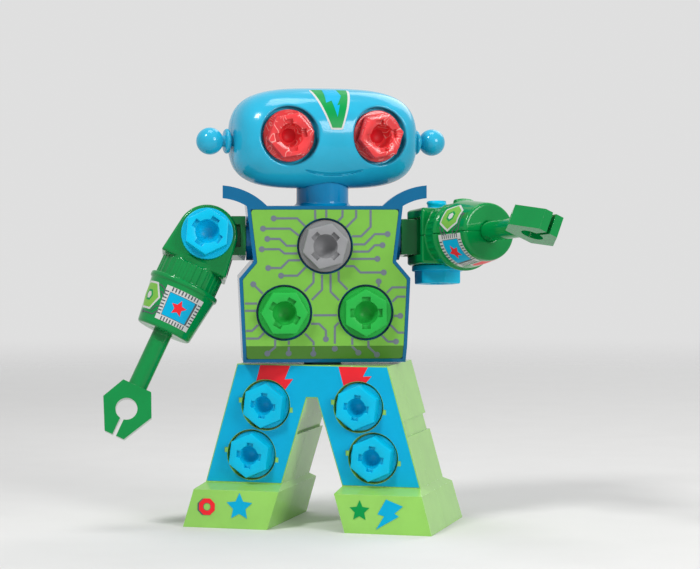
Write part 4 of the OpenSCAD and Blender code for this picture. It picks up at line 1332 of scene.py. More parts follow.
@dataclass(frozen=True)
class Legs:
    """The leg block with its feet, label, toe emblems and four bolts."""

    top_z: float = 77.2
    top_half: float = 36.8
    lean: float = 0.279
    front: float = 18.5
    back: float = 28.5
    gap_top: float = 61.6
    gap_half: float = 2.5
    gap_lean: float = 0.299
    foot_top: float = 20.5
    foot_h: float = 18.0
    toe: float = 11.0
    toe_lean: float = 1.1
    upper: Pair = (22.7, 57.8)
    lower: Pair = (29.8, 34.0)
    hole_r: float = 11.924
    hole_play: float = 0.25
    hole_arc: Pair = (176.0, 344.0)
    notch: float = 1.2
    notch_span: Pair = (-3.4, -0.9)
    label_t: float = 0.25
    label_edge: float = 0.5
    ink: float = 0.06
    lap: float = 0.02
    emblem_t: float = 0.25
    shell_ease: float = 0.9
    ankle: float = 24.5
    screws_in: Pair = (8.0, 8.5)
    screw_drop: float = 6.4
    screw_sunk: float = 4.8
    flange_low: float = -3.6
    bolt_sizes: Pair = (0.92, 0.8)
    bolt_spin: float = 83.0

    def half(self, z: float) -> float:
        """Half width of the legs at a height."""
        return self.top_half + self.lean * (self.top_z - z)

    def gap(self, z: float) -> float:
        """Half width of the gap between the legs at a height."""
        return self.gap_half + self.gap_lean * (self.gap_top - z)

    def bolt_spots(self) -> dict[str, Pair]:
        """X and Z of each bolt, by the name of its node."""
        rows = (("upper", self.upper), ("lower", self.lower))
        return {f"leg_bolt_{row}_{side.word}": (side.value * x, z) for row, (x, z) in rows for side in Side}

    def build(self) -> None:
        """Makes every piece of the legs."""
        for shell in ("leg_front_shell", "leg_rear_shell"):
            moulded(shell, "legs", LIME_PLASTIC, self.shell_ease, 4)
        self.label()
        self.emblems()
        for node, (x, z) in self.bolt_spots().items():
            seat = moved(x, -self.front, z) @ turned("X", 90) @ moved(0, 0, self.flange_low)
            ToyBolt().build(node, seat, CYAN_BOLT, self.bolt_spin, self.bolt_sizes)
        spots = mirrored([
            (self.top_half - self.screws_in[0], self.top_z - self.screw_drop),
            (self.half(self.ankle) - self.screws_in[1], self.ankle),
        ])
        seat_y = self.back - self.screw_sunk
        ScrewSet().build("leg_screw_set", spots, seat_y, Matrix(), "legs", "leg_screws")

    def keyed_hole(self, x: float, z: float) -> Outline:
        """A bolt's hole in the label, with a small key notch on its left and on its right.

        Args:
            x: the place of the hole's middle across the label.
            z: its height.

        Returns:
            The outline, anticlockwise.
        """
        radius = self.hole_r + self.hole_play
        half = arc(radius, *self.hole_arc, 29) + [(radius + self.notch, up) for up in self.notch_span]
        return [(x + across, z + up) for across, up in half + spun(half, 180)]

    def flash(self, hole: Point, top: Points, side: Points, span: Pair) -> Outline:
        """A flash of lightning that runs from the label's top down behind a bolt's hole.

        Args:
            hole: X and Z of the bolt.
            top: the two ends of its upper edge, right to left, from the bolt.
            side: corners of its stepped right side, from the bolt.
            span: angles on the hole's edge that it lies between.

        Returns:
            The outline, anticlockwise.
        """
        rim = arc(self.hole_r + self.hole_play + self.lap, *span, 15)
        return [(hole[0] + x, hole[1] + z) for x, z in [*side, *top, *rim]]

    def label(self) -> None:
        """The printed label over the front of both legs."""
        low, high = self.foot_top, self.top_z
        right = [
            (self.gap_half, self.gap_top), (self.gap(low), low), (self.half(low), low), (self.top_half, high),
        ]
        outline = inset([*right, *[(-x, z) for x, z in reversed(right)]], self.label_edge)
        holes = [self.keyed_hole(x, z) for x, z in self.bolt_spots().values()]
        made = Shape().sheet([outline, *holes], 0.0, self.label_t)
        rise = high - self.label_edge - self.lap - self.upper[1]
        left_hole, right_hole = mirrored([self.upper])
        flashes = (
            self.flash(left_hole, [(12.2, rise), (-2.6, rise)], [(13.6, 12.6), (9.4, 12.4)], (112, 38)),
            self.flash(right_hole, [(4.6, rise), (-9.6, rise)], [(6.4, 14.6), (2.2, 14.4)], (126, 72)),
        )
        for flash in flashes:
            made.sheet([flash], self.label_t - self.lap, self.label_t + self.ink, paint=1)
        face = Matrix(((1, 0, 0, 0), (0, 0, -1, -self.front), (0, 1, 0, 0), (0, 0, 0, 1)))
        mesh = made.placed(face).mesh("leg_label", 1e-4)
        settle("leg_label", mesh, "legs", [BLUE_PRINT, RED_PRINT], ["leg_sticker"])

    def emblems(self) -> None:
        """The small emblems on the toes: a nut, two stars and a flash."""
        middle = 0.55 * self.foot_h
        half, gap = self.half(middle), self.gap(middle)
        made = Shape()
        nut = (-(half - 7), 0.0)
        eight = circle(4.2, 8, nut, 22.5)
        shadow = [(x - 0.8, y - 0.1) for x, y in eight]
        made.sheet([shadow, circle(1.7, 24, nut)], 0.0, 0.8 * self.emblem_t, paint=3)
        made.sheet([eight, circle(1.9, 24, nut)], 0.4 * self.emblem_t, self.emblem_t)
        for outline, paint in (
            (star(6.6, (-(half - 23), 0.4)), 1),
            (star(5.0, (gap + 8, 0.6)), 2),
            (lightning(7.6, (half - 15.5, -0.5)), 1),
        ):
            made.sheet([outline], 0.0, self.emblem_t, paint=paint)
        lean = math.degrees(math.atan(self.toe_lean / self.foot_h))
        lift = middle / math.cos(math.radians(lean))
        face = moved(0, -self.front - self.toe, 0) @ turned("X", 90 - lean) @ moved(0, lift, 0)
        mesh = made.placed(face).mesh("toe_emblems", 1e-4)
        finishes = [RED_PRINT, BLUE_PRINT, GREEN_PRINT, GREY_PRINT]
        settle("toe_emblems", mesh, "legs", finishes, ["foot_stickers"])


@dataclass(frozen=True)
class Torso:
    """The torso's shells and wings, its chest panel, three bolts and the neck that it carries."""

    base_z: float = 78.4
    height: float = 73.6
    depth: float = 42.0
    side: tuple[Pair, ...] = ((38.3, 0.0), (40.2, 39.7), (33.5, 47.6), (36.6, 73.6))
    rim: float = 1.75
    panel_t: float = 1.2
    corner: float = 1.6
    bend_h: float = 8.0
    bend_in: float = 4.0
    top_bolt: Pair = (0.0, 54.8)
    low_bolt: Pair = (19.1, 23.6)
    hole_r: float = 13.2
    flange_low: float = -3.6
    neck_r: float = 12.4
    neck_top: float = 166.1
    neck_pin_r: float = 7.0
    neck_pin_h: float = 3.6
    neck_hole_r: float = 9.0
    neck_fillet: float = 2.0
    neck_flange: float = 2.5
    neck_ease: float = 0.4
    wall: float = 2.4
    seam: float = 0.02
    shell_ease: float = 0.45
    low_screw: Pair = (31.0, 8.0)
    high_screw: Pair = (5.6, 5.5)
    screw_sunk: float = 4.8

    def build(self) -> None:
        """Makes every piece of the torso."""
        for shell in ("torso_front_shell", "torso_rear_shell"):
            moulded(shell, "torso", BLUE_PLASTIC, self.shell_ease)
        self.panel()
        self.traces()
        self.neck()
        left, right = mirrored([self.low_bolt])
        bolts = (
            ("chest_bolt_top", self.top_bolt, GREY_BOLT, 135.0),
            ("chest_bolt_left", left, GREEN_BOLT, 60.0),
            ("chest_bolt_right", right, GREEN_BOLT, 90.0),
        )
        for node, (x, z), finish, spin in bolts:
            seat = moved(x, -self.depth / 2, self.base_z + z) @ turned("X", 90) @ moved(0, 0, self.flange_low)
            ToyBolt().build(node, STANCE.torso() @ seat, finish, spin)
        spots = mirrored([
            (self.low_screw[0], self.base_z + self.low_screw[1]),
            (self.neck_r + self.high_screw[0], self.base_z + self.height - self.high_screw[1]),
        ])
        seat_y = self.depth / 2 - self.screw_sunk
        ScrewSet().build("torso_screw_set", spots, seat_y, STANCE.torso(), "torso", "torso_screws")
        dress("waist_pin", BLUE_PLASTIC)
        for joint in ("waist", "neck"):
            dress(f"{joint}_washer", NYLON)
            dress(f"{joint}_screw", STEEL)

    def outline(self) -> Outline:
        """The torso from in front, anticlockwise, with heights above its bottom."""
        return [*self.side, *[(-x, z) for x, z in reversed(self.side)]]

    def chest(self, flat: np.ndarray) -> np.ndarray:
        """The chest's face as a surface, with the strip at its bottom bent in.

        Args:
            flat: places given across, up and out of it.

        Returns:
            The places in the torso's frame.
        """
        x, up, out = flat.T
        bend = np.maximum(self.bend_h - up, 0) / self.bend_h * self.bend_in
        return np.stack([x, bend - self.depth / 2 - out, self.base_z + up], axis=1)

    def panel(self) -> None:
        """The lime panel, in two sheets that meet at the bend; the lower one, the bent strip, is painted
        darker as shade.
        """
        whole = rounded(inset(self.outline(), self.rim), self.corner, 5)
        (low_x, low_z), (high_x, high_z) = self.side[:2]
        reach = low_x - self.rim + self.bend_h * (high_x - low_x) / (high_z - low_z)
        upper = [p for p in whole if p[1] > self.bend_h]
        start = next(i for i, p in enumerate(upper) if p[0] > 0)
        upper = [(reach, self.bend_h), *upper[start:], *upper[:start], (-reach, self.bend_h)]
        lower = [p for p in whole if p[1] < self.bend_h]
        seam = self.bend_h - self.seam
        lower = [*sorted(lower, key=lambda p: p[0] > 0), (reach, seam), (-reach, seam)]
        holes = [circle(self.hole_r, 64, spot) for spot in (self.top_bolt, *mirrored([self.low_bolt]))]
        made = Shape().sheet([upper, *holes], -self.panel_t, 0.0)
        # The bent strip's darker green is painted shade.
        made.sheet([lower], -self.panel_t, 0.0, paint=1)
        mesh = made.mapped(self.chest).placed(STANCE.torso()).mesh("chest_plate", 1e-4)
        settle("chest_plate", mesh, "torso", [CHEST_LIME, CHEST_STRIP_SHADE], ["chest_panel"])

    def traces(self) -> None:
        """Printed lines that run out from the bolts to pads or to the panel's edge."""
        padded = [
            [(-9.4, 64.2), (-13.0, 67.8), (-24.0, 67.8)], [(-12.3, 59.8), (-16.4, 63.0), (-29.0, 63.0)],
            [(-13.3, 55.0), (-18.0, 55.0), (-21.2, 58.2), (-27.0, 58.2)],
            [(-12.9, 51.4), (-19.0, 51.4), (-21.4, 53.4), (-29.6, 53.4)],
            [(-11.6, 48.2), (-17.0, 48.2), (-20.6, 44.6), (-26.6, 44.6)],
            [(-9.0, 45.0), (-13.0, 41.0), (-20.6, 41.0)],
            [(13.3, 55.6), (18.6, 55.6), (23.4, 60.4), (29.4, 60.4)],
            [(13.1, 52.2), (20.4, 52.2), (23.4, 55.2), (27.0, 55.2)], [(12.0, 48.8), (24.6, 48.8)],
            [(9.4, 45.4), (13.6, 45.4), (16.6, 42.4), (27.6, 42.4)],
            [(-6.6, 18.4), (-2.8, 18.4), (0.4, 15.2), (0.4, 11.2)], [(6.4, 18.9), (4.6, 17.1), (4.6, 6.6)],
            [(-9.4, 13.8), (-5.4, 9.8), (-5.4, 4.2)], [(-29.2, 32.6), (-33.6, 37.0)],
            [(-23.4, 11.0), (-23.4, 7.4), (-27.0, 4.4)], [(-17.0, 10.4), (-17.0, 4.4)],
            [(12.8, 11.9), (12.8, 7.6), (15.8, 4.6)], [(20.4, 10.3), (20.4, 7.4), (24.6, 3.6)],
            [(26.8, 12.7), (29.6, 9.9), (33.4, 9.9)], [(32.4, 22.0), (35.4, 22.0)],
            [(25.2, 35.6), (25.2, 38.2)],
        ]
        plain = [
            [(-4.6, 67.3), (-4.6, 71.7)], [(0.6, 68.2), (0.6, 71.7)],
            [(6.2, 66.6), (8.2, 68.6), (8.2, 71.7)], [(10.0, 63.6), (14.6, 68.2), (14.6, 71.7)],
            [(12.6, 59.4), (17.0, 59.4), (21.4, 63.8), (21.4, 71.7)],
            [(-5.4, 42.6), (-5.4, 37.8), (-9.6, 33.6)], [(-1.4, 41.4), (-1.4, 34.4), (-6.2, 29.6)],
            [(2.6, 41.7), (2.6, 33.4), (6.6, 29.4)], [(6.4, 43.0), (6.4, 38.6), (10.6, 34.4)],
            [(-5.6, 22.4), (5.6, 22.4)], [(-31.8, 28.0), (-37.6, 28.0)], [(-32.3, 24.6), (-37.5, 24.6)],
            [(-31.4, 18.0), (-34.2, 15.2), (-37.1, 15.2)], [(-28.6, 14.2), (-31.2, 11.6), (-36.9, 11.6)],
            [(30.9, 17.6), (34.4, 14.1), (37.1, 14.1)], [(31.6, 28.6), (34.0, 31.0), (37.8, 31.0)],
            [(29.0, 32.8), (31.6, 35.4), (38.0, 35.4)],
        ]
        lines = TracePrint().lines("chest_traces", padded, plain, TRACE_PRINT)
        mesh = wrapped(lines, self.chest, STANCE.torso())
        settle("chest_traces", mesh, "torso", [TRACE_PRINT])

    def neck(self) -> None:
        """The neck post, turned, with a small fillet at its foot, in a lighter blue that is painted light."""
        top, fillet, ease = self.base_z + self.height, self.neck_fillet, self.neck_ease
        roof, pin_top = top - self.wall, self.neck_top + self.neck_pin_h
        foot = arc(fillet, 270, 180, 9, (self.neck_r + fillet, top + fillet))
        profile = [
            (0, roof - self.neck_flange), (self.neck_r, roof - self.neck_flange), (self.neck_r, roof),
            (self.neck_hole_r, roof), (self.neck_hole_r, top), *foot,
            (self.neck_r, self.neck_top - ease), (self.neck_r - ease, self.neck_top),
            (self.neck_pin_r, self.neck_top), (self.neck_pin_r, pin_top - ease),
            (self.neck_pin_r - ease, pin_top), (0, pin_top),
        ]
        mesh = Shape().lathe(profile, 96).placed(STANCE.torso()).mesh("neck")
        settle("neck", mesh, "torso", [LIT_NECK_PLASTIC], ["neck_post"])


@dataclass(frozen=True)
class Head:
    """The head's two shells with eye pockets and a smile, the ear knobs, eye bolts and forehead label."""

    half: float = 44.6
    radius: float = 23.8
    square: float = 3.5
    top_ease: float = 0.2
    section: float = 2.3
    eye: Triple = (21.6, -15.5, 0.9)
    eye_toe: float = 4.0
    pocket_r: float = 13.6
    eye_lift: float = 0.15
    eye_spin: float = 10.0
    pocket_edge: float = 1.3
    pocket_foot: float = 0.6
    smile_r: float = 45.5
    smile_half: float = 13.8
    smile_low: float = -17.3
    smile_w: float = 0.6
    smile_depth: float = 0.8
    smile_taper: float = 0.75
    neck_hole_r: float = 12.7
    neck_hole_top: float = -17.5
    neck_hole_edge: float = 0.5
    edge: float = 0.3
    ear_r: float = 6.4
    ear_reach: float = 55.2
    ear_drop: float = 1.5
    ear_root_r: float = 4.4
    ear_root: Pair = (-6.0, -4.0)
    ear_stem_r: float = 2.6
    ear_neck: Pair = (2.9, 3.75)
    collar_foot: Pair = (3.4, 1.15)
    collar_size: Pair = (1.5, 1.2)
    collar_out: float = 2.4
    label_low: Pair = (2.8, 3.7)
    label_high: Pair = (10.0, 22.5)
    label_border: float = 0.85
    label_corner: float = 0.8
    label_layers: Ease = ((0.0, 0.12), (0.1, 0.18), (0.16, 0.24))
    label_step: float = 0.9
    screw: Pair = (33.0, 9.0)
    screw_seat: float = 11.0
    tunnel_r: float = 2.7
    step: float = 0.42
    feel: float = 0.05
    least_slope: float = 0.008
    halvings: int = 40

    def skin(self, points: np.ndarray) -> np.ndarray:
        """How far points lie out of the plain head, as a share of its size.

        Args:
            points: the places to measure.

        Returns:
            One share for each, negative within.
        """
        x, y, z = points.T
        away = (np.abs(y) ** self.section + np.abs(z) ** self.section) ** (1 / self.section)
        away = np.maximum(away, TINY)
        power = self.square - self.top_ease * z / away
        share = (np.abs(x) / self.half) ** power + (away / self.radius) ** power
        return share ** (1 / power) - 1

    def shell(self, points: np.ndarray) -> np.ndarray:
        """Distance from the plain head's surface.

        Args:
            points: the places to measure.

        Returns:
            One distance for each, negative within.
        """
        here = self.skin(points)
        slope = [(self.skin(points + m) - here) / self.feel for m in np.eye(3) * self.feel]
        return here / np.maximum(np.sqrt(sum(s * s for s in slope)), self.least_slope)

    def pocket(self, points: np.ndarray, side: Side) -> np.ndarray:
        """Distance from the round pocket that an eye sits in.

        Args:
            points: the places to measure.
            side: the eye's side.

        Returns:
            One distance for each, negative within.
        """
        turn = math.radians(side.value * self.eye_toe)
        out = np.array([math.sin(turn), -math.cos(turn), 0.0])
        apart = points - np.array([side.value * self.eye[0], self.eye[1], self.eye[2]])
        along = apart @ out
        around = np.linalg.norm(apart - along[:, None] * out, axis=1)
        return round_max(around - self.pocket_r, -along, self.pocket_foot)

    def smile(self, points: np.ndarray, shell: np.ndarray) -> np.ndarray:
        """Distance from the groove of the smile, which narrows towards its ends.

        Args:
            points: the places to measure.
            shell: their distances from the plain head's surface.

        Returns:
            One distance for each, negative within.
        """
        x, y, z = points.T
        middle = self.smile_low + self.smile_r
        limit = math.asin(self.smile_half / self.smile_r)
        angle = np.clip(np.arctan2(x, middle - z), -limit, limit)
        apart = np.hypot(x - self.smile_r * np.sin(angle), z - middle + self.smile_r * np.cos(angle))
        width = self.smile_w * (1 - self.smile_taper * (angle / limit) ** 4)
        return np.maximum(np.maximum(apart - width, -shell - self.smile_depth), y)

    def solid(self, points: np.ndarray) -> np.ndarray:
        """Distance from the whole head with its pockets, groove and neck hole.

        Args:
            points: the places to measure.

        Returns:
            One distance for each, negative within.
        """
        shell = self.shell(points)
        made = shell
        for side in Side:
            made = round_max(made, -self.pocket(points, side), self.pocket_edge)
        around = np.hypot(points[:, 0], points[:, 1])
        hole = np.maximum(around - self.neck_hole_r, points[:, 2] - self.neck_hole_top)
        made = round_max(made, -hole, self.neck_hole_edge)
        screws = tunnels(points, mirrored([self.screw]), self.screw_seat, self.tunnel_r)
        made = round_max(made, -screws, self.edge)
        return round_max(made, -self.smile(points, shell), self.edge)

    def build(self) -> None:
        """Makes every piece of the head."""
        frame_at = STANCE.head()
        high = (self.half + 1, self.radius + 1, self.radius + 1)
        mould = Mould(self.solid, tuple(-reach for reach in high), high, self.step)
        for word, shape in mould.halves(self.edge).items():
            mesh = shape.placed(frame_at).mesh(f"head_{word}", 1e-4)
            settle(f"head_{word}", mesh, "head", [SKY_PLASTIC], [f"head_{word}_shell"], 50.0)
        for side in Side:
            self.ear(side)
            x, y, z = self.eye
            seat = moved(side.value * x, y, z) @ turned("Z", side.value * self.eye_toe) @ turned("X", 90)
            seat = frame_at @ seat @ moved(0, 0, self.eye_lift)
            node = f"eye_bolt_{side.word}"
            # The eye bolts' lower sockets are painted darker as shade.
            ToyBolt().build(node, seat, RED_CLEAR, self.eye_spin, deep=RED_SOCKET_SHADE)
        self.forehead()
        screws = mirrored([self.screw])
        ScrewSet().build("head_screw_set", screws, self.screw_seat, frame_at, "head", "head_screws")

    def ear(self, side: Side) -> None:
        """An ear knob: a ball on a waisted stem, with a round collar against the head.

        Args:
            side: the ear's side.
        """
        ball = arc(self.ear_r, -66, 90, 28, (0.0, self.ear_reach))
        low, high = (self.half + depth for depth in self.ear_root)
        bulge, rise = self.collar_size
        collar = [
            (self.ear_root_r + bulge * math.sin(a), self.half + self.collar_out - rise * math.cos(a))
            for a in np.linspace(0.1, math.pi - 0.1, 12)
        ]
        profile = [
            (0, low), (self.ear_root_r, low), (self.ear_root_r, high), (self.ear_stem_r, high),
            (self.ear_stem_r, self.half + 1.0), (self.collar_foot[0], self.half + self.collar_foot[1]),
            *collar, (self.ear_neck[0], self.half + self.ear_neck[1]), *ball,
        ]
        flip = Matrix.Diagonal((side.value, 1, 1, 1))
        seat = STANCE.head() @ flip @ moved(0, 0, -self.ear_drop) @ turned("Y", 90)
        mesh = Shape().lathe(profile, 56).placed(seat).mesh(f"ear_{side.word}")
        settle(f"ear_{side.word}", mesh, "head", [SKY_PLASTIC], [f"ear_knob_{side.word}"])

    def brow(self, flat: np.ndarray) -> np.ndarray:
        """The head's front as a surface.

        Args:
            flat: places given across, up and out of it.

        Returns:
            The places in the head's frame.
        """
        x, up, out = flat.T
        near, far = np.zeros(len(flat)), np.full(len(flat), -self.radius - 1)
        for _ in range(self.halvings):
            middle = (near + far) / 2
            inside = self.skin(np.stack([x, middle, up], axis=1)) < 0
            near, far = np.where(inside, middle, near), np.where(inside, far, middle)
        points = np.stack([x, near, up], axis=1)
        moves = np.eye(3) * self.feel
        slope = np.stack([self.skin(points + m) - self.skin(points - m) for m in moves], axis=1)
        return points + out[:, None] * slope / np.linalg.norm(slope, axis=1)[:, None]

    def forehead(self) -> None:
        """The label between the eyes: a pale border, a green field and a flash."""
        top = self.label_high[1]
        outline = [self.label_low, self.label_high, *[(-x, z) for x, z in (self.label_high, self.label_low)]]
        inner = inset(outline, self.label_border)
        inner = [inner[0], (inner[1][0], top), (inner[2][0], top), inner[3]]
        flash = [
            (-3.4, 22.4), (-3.9, 16.2), (-1.0, 17.3), (0.6, 9.6),
            (2.6, 15.4), (1.2, 15.0), (4.4, 19.6), (3.6, 22.4),
        ]
        made = Shape()
        prints = (rounded(outline, self.label_corner, 3), inner, flash)
        for paint, (printed, (low, high)) in enumerate(zip(prints, self.label_layers)):
            made.sheet([printed], low, high, self.label_step, paint)
        mesh = made.mapped(self.brow).placed(STANCE.head()).mesh("forehead_label", 1e-4)
        finishes = [PALE_PRINT, GREEN_PRINT, BLUE_PRINT]
        settle("forehead_label", mesh, "head", finishes, ["forehead_sticker"], 50.0)


@dataclass(frozen=True)
class Arm:
    """One arm from its shoulder bar to its claw, down -Z from the hinge, with the bolt's head in front."""

    side: Side
    fork_r: float = 14.3
    corner: Pair = (16.5, -15.3)
    fork_in: float = 8.8
    fork_out: float = 13.2
    fork_floor: float = -12.35
    spot_r: float = 16.2
    neck_r: float = 14.9
    cuff_top: float = 24.8
    cuff_end: float = 49.5
    lip_r: float = 17.0
    lip_h: float = 2.4
    cuff_r: float = 16.5
    cuff_end_r: float = 13.2
    shank_r: float = 5.05
    rod_r: float = 4.65
    grip_top: float = 35.5
    grip_r: float = 7.3
    grip_half: float = 1.3
    hollow_r: float = 10.1
    hollow_top: float = 15.35
    hollow_up: float = 2.4
    block_edge: float = 1.5
    cuff_edge: float = 1.2
    lip_edge: float = 0.7
    edge: float = 0.3
    ribs: int = 30
    rib_r: float = 1.15
    rib_in: float = 0.75
    rib_top: float = 16.4
    rib_low: float = 0.4
    rib_sides: int = 14
    screw: Pair = (7.4, -26.4)
    screw_seat: float = 7.7
    tunnel_r: float = 2.7
    reach: float = 18.5
    step: float = 0.5
    bolt_lift: float = 0.15
    bolt_spins: Pair = (10.0, 40.0)
    bar_ease: float = 0.5
    claw_ease: float = 0.55
    label_middle: Pair = (-12.0, 50.0)
    label_layers: Ease = ((0.0, 0.1), (0.08, 0.15), (0.13, 0.19), (0.17, 0.23))
    label_step: float = 1.2
    chip: Pair = (0.0, 37.9)
    chip_half: Pair = (7.0, 5.7)
    chip_border: float = 2.5
    nut: Pair = (18.2, 36.6)
    pins_along: tuple[int, int] = (9, 8)
    pin_pitch: float = 1.55
    pin_out: float = 1.45
    pin_size: Triple = (0.62, 1.9, 0.12)

    def fork(self, x: np.ndarray, z: np.ndarray) -> np.ndarray:
        """Distance from the fork's outline along the bolt: round at the top, straight down to two corners.

        Args:
            x: places across the fork.
            z: their heights.

        Returns:
            One distance for each place, negative within.
        """
        reach = math.hypot(*self.corner)
        touch = math.atan2(self.corner[1], self.corner[0]) + math.acos(self.fork_r / reach)
        across = np.abs(x)
        straight = across * math.cos(touch) + z * math.sin(touch) - self.fork_r
        above = np.arctan2(z, across) > touch
        side = np.where(above, np.hypot(x, z) - self.fork_r, straight)
        return round_max(side, self.corner[1] - z, self.lip_edge)

    def cuff(self, around: np.ndarray, z: np.ndarray) -> np.ndarray:
        """Distance from the cuff with the lip at its top.

        Args:
            around: distances of the places from the arm's axis.
            z: their heights.

        Returns:
            One distance for each place, negative within.
        """
        length = self.cuff_end - self.cuff_top
        lean = (self.cuff_r - self.cuff_end_r) / length
        cone = (around - self.cuff_r - lean * (z + self.cuff_top)) / math.hypot(1, lean)
        cone = round_max(cone, -z - self.cuff_end, self.cuff_edge)
        cone = np.maximum(cone, z + self.cuff_top + 0.5)
        middle = self.cuff_top + self.lip_h / 2
        lip = round_max(around - self.lip_r, np.abs(z + middle) - self.lip_h / 2, self.lip_edge)
        return round_min(cone, lip, 0.5)

    def solid(self, points: np.ndarray) -> np.ndarray:
        """Distance from the whole arm, both shells together.

        Args:
            points: the places to measure.

        Returns:
            One distance for each, negative within.
        """
        x, y, z = points.T
        around = np.hypot(x, y)
        block = round_max(self.fork(x, z), np.abs(y) - self.fork_out, self.block_edge)
        neck = np.maximum(around - self.neck_r, np.maximum(z - self.fork_floor + 0.5, -z - self.cuff_top - 1))
        spot = np.maximum(np.hypot(x, z) - self.spot_r, self.fork_out - np.abs(y))
        neck = round_max(neck, -spot, self.edge)
        made = round_min(round_min(block, neck, 0.6), self.cuff(around, z), 0.4)
        slot = np.maximum(np.abs(y) - self.fork_in, self.fork_floor - z)
        made = round_max(made, -slot, 0.4)
        ends = np.maximum(z + self.hollow_top, -z - self.grip_top + self.hollow_up)
        hollow = np.maximum(around - self.hollow_r, ends)
        grip = np.maximum(around - self.grip_r, np.abs(z + self.grip_top + 1) - self.grip_half)
        rod = np.maximum(around - self.rod_r, z + self.grip_top)
        made = np.maximum(np.maximum(made, -hollow), -grip)
        made = round_max(made, -rod, self.edge)
        screws = tunnels(points, mirrored([self.screw]), self.screw_seat, self.tunnel_r)
        made = round_max(made, -screws, self.edge)
        return round_max(made, self.shank_r - np.hypot(x, z), 0.2)

    def build(self) -> None:
        """Makes every piece of the arm."""
        word = self.side.word
        matrix = STANCE.arm(self.side)
        body = f"arm_{word}"
        low, high = (-self.reach, -self.reach, -self.cuff_end - 1), (self.reach, self.reach, self.fork_r + 1)
        for half, shape in Mould(self.solid, low, high, self.step).halves(0.25).items():
            name, node = f"arm_{half}_{word}", f"arm_{half}_shell_{word}"
            mesh = shape.placed(matrix).mesh(name, 1e-4)
            settle(name, mesh, body, [GREEN_PLASTIC], [node], 50.0)
        self.flutes()
        seat = matrix @ turned("X", 90) @ moved(0, 0, self.fork_out + self.bolt_lift)
        spin = self.bolt_spins[self.side is Side.RIGHT]
        ToyBolt().build(f"arm_bolt_{word}", seat, CYAN_BOLT, spin)
        moulded(f"shoulder_bar_{word}", f"shoulder_{word}", GREEN_PLASTIC, self.bar_ease)
        moulded(f"claw_{word}", f"forearm_{word}", GREEN_PLASTIC, self.claw_ease)
        screws = mirrored([self.screw])
        ScrewSet().build(f"arm_screw_set_{word}", screws, self.screw_seat, matrix, body, f"arm_screws_{word}")
        dress(f"shoulder_washer_{word}", NYLON)
        dress(f"shoulder_screw_{word}", STEEL)
        self.label()

    def flutes(self) -> None:
        """The rounded ribs round the neck between the fork and the cuff's lip."""
        name = f"arm_flutes_{self.side.word}"
        tree = GeoTree(name, {
            "Count": self.ribs, "Ring Radius": self.neck_r - self.rib_in, "Rib Radius": self.rib_r,
            "Top": -self.rib_top, "Length": self.cuff_top + self.rib_low - self.rib_top,
        })
        graph = tree.graph
        sockets = {"Vertices": tree["Count"], "Radius": tree["Ring Radius"]}
        ring = graph.add("GeometryNodeMeshCircle", None, sockets)
        sockets = {"Vertices": self.rib_sides, "Radius": tree["Rib Radius"], "Depth": tree["Length"]}
        rib = graph.add("GeometryNodeMeshCylinder", None, sockets)
        sockets = {"Segments": self.rib_sides, "Rings": 9, "Radius": tree["Rib Radius"] * 0.99}
        ball = graph.add("GeometryNodeMeshUVSphere", None, sockets)
        half = graph.add("ShaderNodeCombineXYZ", None, {"Z": tree["Length"] * 0.5 - 0.05})
        end = graph.add("GeometryNodeTransform", None, {"Geometry": ball, "Translation": half})
        both = graph.add("GeometryNodeJoinGeometry", None, {"Geometry": [rib, end]})
        ribs = graph.add("GeometryNodeInstanceOnPoints", None, {"Points": ring, "Instance": both})
        drop = graph.add("ShaderNodeCombineXYZ", None, {"Z": tree["Top"] - tree["Length"] * 0.5})
        lowered = graph.add("GeometryNodeTransform", None, {"Geometry": ribs, "Translation": drop})
        tree.finish(lowered, GREEN_PLASTIC)
        mesh = wrapped(tree.grown(bpy.data.meshes.new(name)), lambda p: p, STANCE.arm(self.side))
        settle(name, mesh, f"arm_{self.side.word}", [GREEN_PLASTIC])

    def wrap(self, flat: np.ndarray) -> np.ndarray:
        """The cuff as a surface.

        Args:
            flat: places given round it, down it from the hinge, and out of it.

        Returns:
            The places in the arm's frame.
        """
        across, down, out = flat.T
        lean = (self.cuff_r - self.cuff_end_r) / (self.cuff_end - self.cuff_top)
        radius = self.cuff_r - lean * (down - self.cuff_top) + out
        middle = math.radians(self.label_middle[self.side is Side.RIGHT])
        angle = middle + across / (0.5 * (self.cuff_r + self.cuff_end_r))
        return np.stack([radius * np.sin(angle), -radius * np.cos(angle), -down], axis=1)

    def label(self) -> None:
        """The print round the cuff: a chip with a star, leads to a nut, and a red patch."""
        matrix = STANCE.arm(self.side)
        (x, down), (wide, high) = self.chip, self.chip_half
        signs = ((-1, -1), (1, -1), (1, 1), (-1, 1))
        square = [(x + across * wide, down + along * high) for across, along in signs]
        inner = [(max(across, 1.1 - wide), along) for across, along in inset(square, 0.25)]
